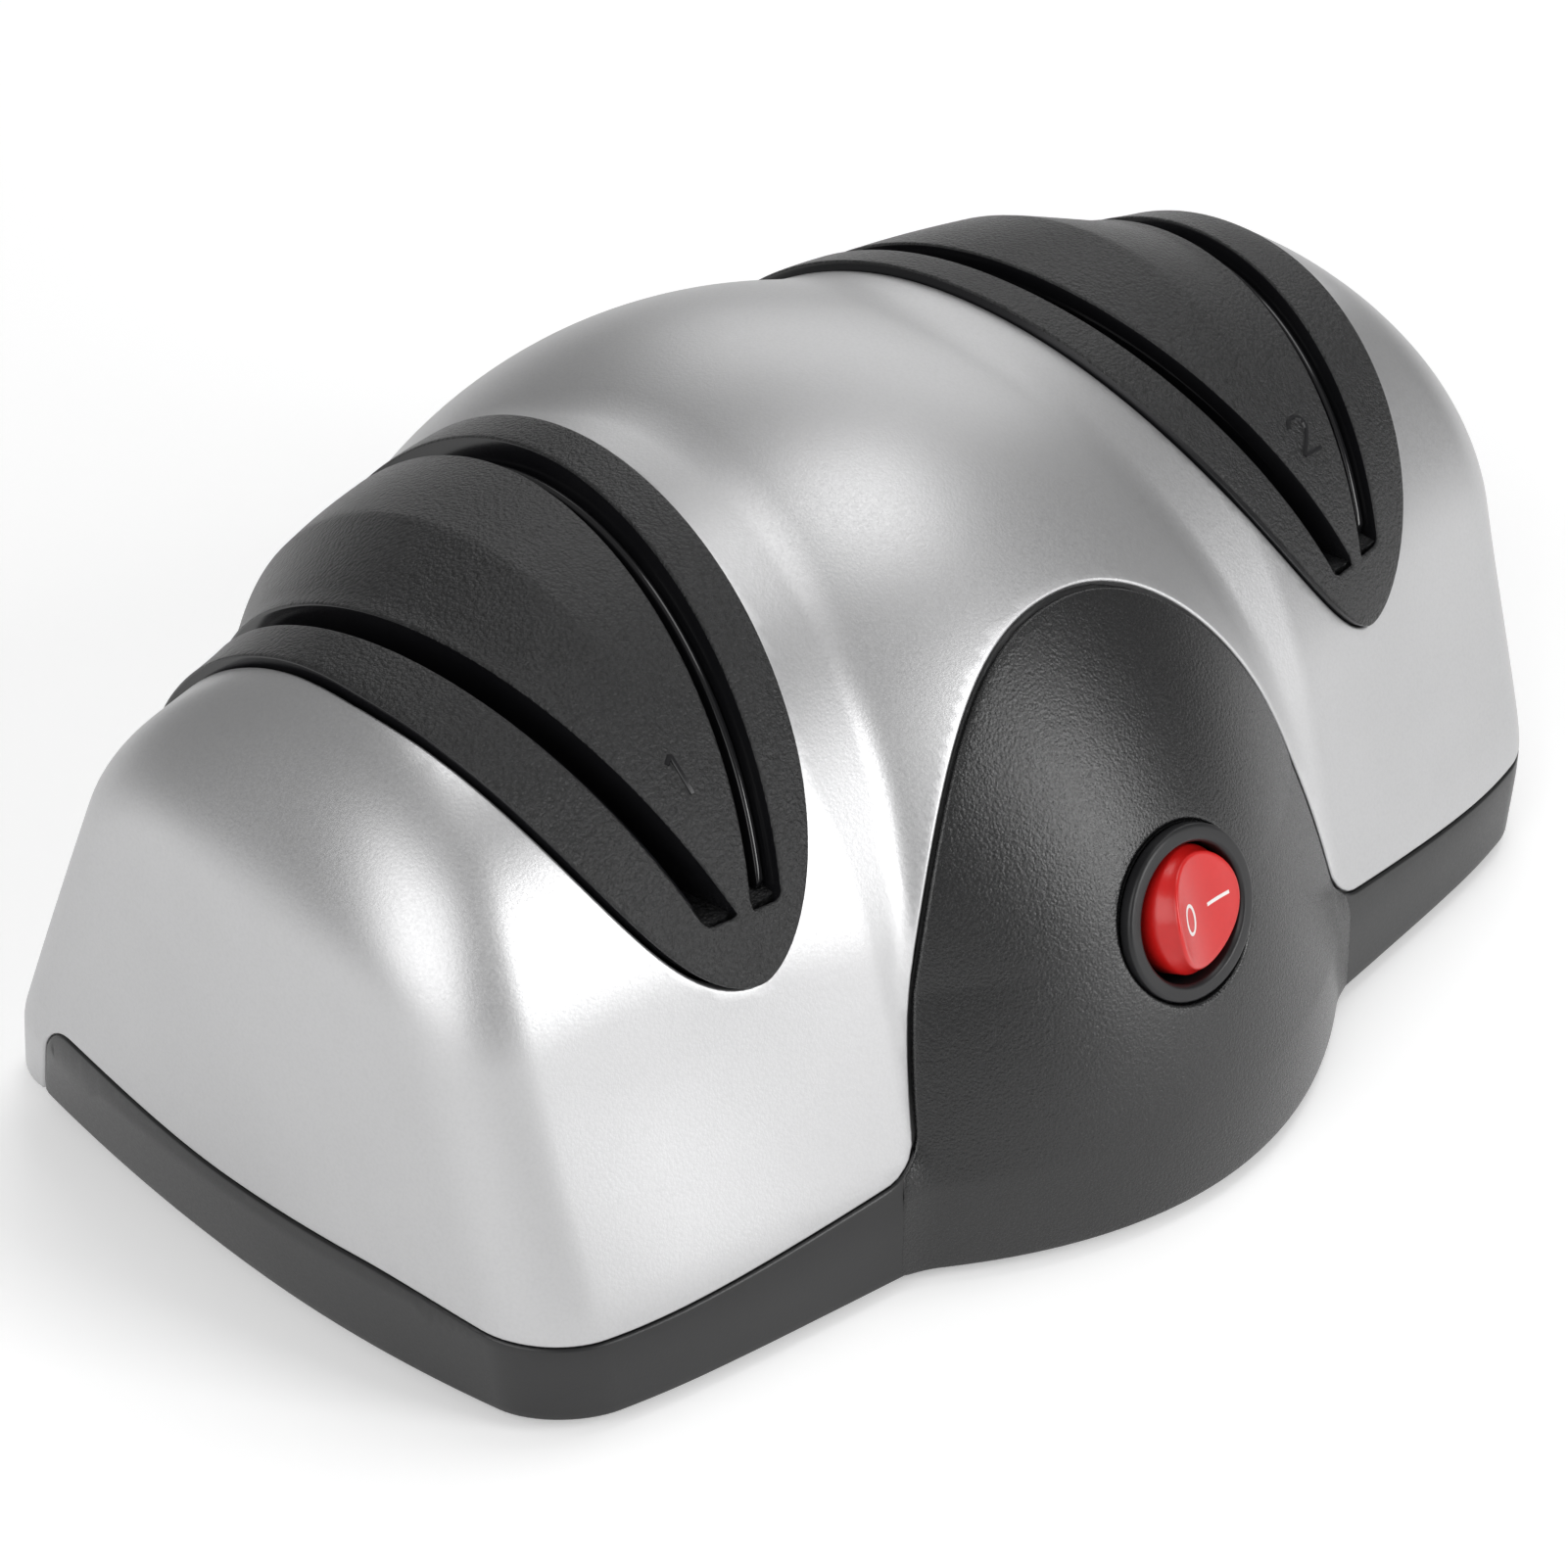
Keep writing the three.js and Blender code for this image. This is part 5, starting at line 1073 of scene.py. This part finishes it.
SCREW_LENGTH, THREAD_FROM, THREAD_PITCH = 20, 3.0, 0.9
zinc = finish("zinc_plating", (0.50, 0.50, 0.51), (0.42, 0.42, 0.43), 0.32, metallic=1.0, cells=3000,
              grain=0.08, depth=0.00002, patch=180)


def housing_screw():
    """A pan head with a round recess, pointing up from its head, with a thread on its shank."""
    profile = [(0, 0.9), (1.0, 0.9), (1.25, 0.05), (2.0, 0.0), (2.7, 0.35), (3.0, 1.1), (3.0, 1.9),
               (2.9, 2.0), (1.2, 2.0)]
    for k in range(int((SCREW_LENGTH - THREAD_FROM) / THREAD_PITCH)):
        h = THREAD_FROM + k * THREAD_PITCH
        profile += [(1.15, h), (1.5, h + 0.35), (1.5, h + 0.45), (1.15, h + 0.8)]
    profile += [(1.1, SCREW_LENGTH), (0.2, SCREW_LENGTH + 1.8), (0, SCREW_LENGTH + 2.0)]
    return turned(profile, 24)


housing_screws = on_corners("housing_screw_set", housing_screw(), 174, 46, (0, -1, 2.5), zinc)
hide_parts(*[f"housing_screw_{end}_{side}" for end in ("front", "back")
                              for side in ("left", "right")])


# Works inside: drive, board, leads and fasteners keep the frame's solids. Each takes the finish
# of what it is made of.
inner_finishes = {
    "coarse_grit": finish("coarse_grit_stone", (0.13, 0.11, 0.09), (0.19, 0.17, 0.14), 0.9,
                          grain=1.0, depth=0.0002),
    "fine_grit": finish("fine_grit_stone", (0.42, 0.40, 0.36), (0.5, 0.48, 0.44), 0.85,
                        cells=3200, grain=0.9, depth=0.0001),
    "steel": finish("bright_steel", (0.46, 0.47, 0.48), (0.40, 0.41, 0.42), 0.3,
                    metallic=1.0, cells=3000, grain=0.06, patch=150),
    "plated_steel": finish("dull_plated_steel", (0.22, 0.225, 0.235), (0.27, 0.275, 0.28), 0.42,
                           metallic=1.0, cells=2200, grain=0.12, patch=90),
    "magnet": finish("ferrite", (0.035, 0.035, 0.038), (0.05, 0.05, 0.053), 0.75, cells=2600, grain=0.5),
    "copper": finish("enamelled_copper", (0.42, 0.14, 0.045), (0.5, 0.19, 0.07), 0.28,
                     metallic=1.0, cells=2400, grain=0.7, depth=0.0001, coat=0.3),
    "nylon": finish("natural_nylon", (0.60, 0.56, 0.46), (0.66, 0.62, 0.52), 0.5, cells=1600, grain=0.1),
    "carbon": finish("pressed_carbon", (0.02, 0.02, 0.021), (0.03, 0.03, 0.031), 0.6,
                     cells=2600, grain=0.3),
    "bronze": finish("sintered_bronze", (0.32, 0.18, 0.06), (0.38, 0.23, 0.09), 0.45,
                     metallic=1.0, cells=3400, grain=0.5, patch=200),
    "switch_black": satin_nylon,
    "brass": finish("stamped_brass", (0.55, 0.36, 0.11), (0.48, 0.31, 0.09), 0.3,
                    metallic=1.0, cells=2600, grain=0.08, patch=200),
    "board": finish("green_board", (0.02, 0.11, 0.04), (0.03, 0.14, 0.055), 0.4,
                    cells=1200, patch=120, coat=0.4),
    "capacitor_sleeve": finish("capacitor_sleeve", (0.012, 0.02, 0.06), (0.018, 0.03, 0.08), 0.35,
                               cells=1200, grain=0.05),
    "lead_sleeve": finish("lead_sleeve", (0.18, 0.02, 0.018), (0.24, 0.03, 0.025), 0.5,
                          cells=1200, grain=0.08),
    "rubber": black_rubber,
    "silver_shell": silver_paint,
    "black_housing": black_satin,
    "black_insert": coarse_grain,
    "gloss_rail": polished_nylon,
    "rocker_red": red_gloss,
}
node_slots = {part["node"]: part["material_slot"] for part in frame["record"]["subparts"]}
for label, item in nodes.items():
    item.data.materials.clear()
    item.data.materials.append(inner_finishes[node_slots[label]])


# Photo set: the object stands on a wide pale floor under large soft lamps. The camera looks
# from the front left and above, as in the photograph.
camera = bpy.data.cameras.new("camera")
camera.lens, camera.sensor_width = 112.47, 36
camera_item = linked("camera", camera)
camera_item.location = (-0.3896, -0.3826, 0.3929)
camera_item.rotation_euler = (math.radians(56.25), 0, math.radians(-45.16))
bpy.context.scene.camera = camera_item

FLOOR_HALF, FLOOR_GLOW = 6000, 0.27
RAMP = {"From Min": 0.25, "From Max": 0.9, "To Min": 0.0, "To Max": 0.7}
floor_corners = [(x * FLOOR_HALF, y * FLOOR_HALF, 0) for x, y in ((-1, -1), (1, -1), (1, 1), (-1, 1))]
floor_mesh = new_mesh("studio_floor", (floor_corners, [(0, 1, 2, 3)]))
floor = linked("studio_floor", floor_mesh)
pale = bpy.data.materials.new("pale_floor")
pale.use_nodes = True
pale_tree = pale.node_tree
pale_shader = pale_tree.nodes["Principled BSDF"]
for label, value in (("Base Color", (0.92, 0.92, 0.92, 1)), ("Emission Color", (1, 1, 1, 1)),
                     ("Roughness", 0.9)):
    pale_shader.inputs[label].default_value = value


def floor_math(kind, first, second=None, values=None):
    """The result of a sum between two sockets, or a socket and a number."""
    links = {0: first} if second is None else {0: first, 1: second}
    return node(pale_tree, "Math", links, values, operation=kind).outputs[0]


# The floor glows a little for the eye and for mirrors, and more towards the horizon, where the
# lamps don't reach, for the eye alone.
path = node(pale_tree, "LightPath")
eye = path.outputs["Is Camera Ray"]
seen = eye
for label in ("Is Glossy Ray", "Is Transmission Ray"):
    seen = floor_math("MAXIMUM", seen, path.outputs[label])
seen = floor_math("MULTIPLY", seen, values={1: FLOOR_GLOW})
place = node(pale_tree, "TexCoord").outputs["Object"]
apart = node(pale_tree, "VectorMath", {0: place}, operation="LENGTH").outputs["Value"]
apart = node(pale_tree, "MapRange", {"Value": apart}, RAMP, interpolation_type="SMOOTHSTEP")
apart = floor_math("MULTIPLY", apart.outputs["Result"], eye)
pale_tree.links.new(floor_math("ADD", seen, apart), pale_shader.inputs["Emission Strength"])
floor_mesh.materials.append(pale)


def softbox(name, turn, height, distance, width, depth, glow):
    """A soft lamp seen from the object at so many degrees from its front and above its foot.
    Its glow is the brightness that a mirror would show."""
    light = bpy.data.lights.new(name, "AREA")
    light.shape, light.size, light.size_y = "RECTANGLE", width, depth
    light.energy = glow * math.pi * width * depth
    item = linked(name, light)
    turn, height = math.radians(turn), math.radians(height)
    out = Vector((math.sin(turn) * math.cos(height), -math.cos(turn) * math.cos(height), math.sin(height)))
    item.location = Vector((0, 0, 0.04)) + distance * out
    item.rotation_euler = out.to_track_quat("Z", "Y").to_euler()
    item.visible_camera = False


softbox("key_front_right", 19, 21, 1.25, 0.42, 0.92, 6.6)
softbox("front_left", -71, 29, 1.2, 0.90, 1.04, 2.4)
softbox("overhead", 80, 74, 1.3, 0.60, 0.64, 2.5)
softbox("back_right", 125, 30, 1.5, 1.20, 0.95, 1.0)

WORLD_LIGHT = 0.30
world = bpy.data.worlds.new("studio_air")
world.use_nodes = True
air = world.node_tree
air.nodes["Background"].inputs["Color"].default_value = (1, 1, 1, 1)
eye = node(air, "LightPath").outputs["Is Camera Ray"]
bright = node(air, "Math", {0: eye}, {1: WORLD_LIGHT}, operation="MAXIMUM")
air.links.new(bright.outputs[0], air.nodes["Background"].inputs["Strength"])
bpy.context.scene.world = world
bpy.context.scene.view_settings.view_transform = "Standard"
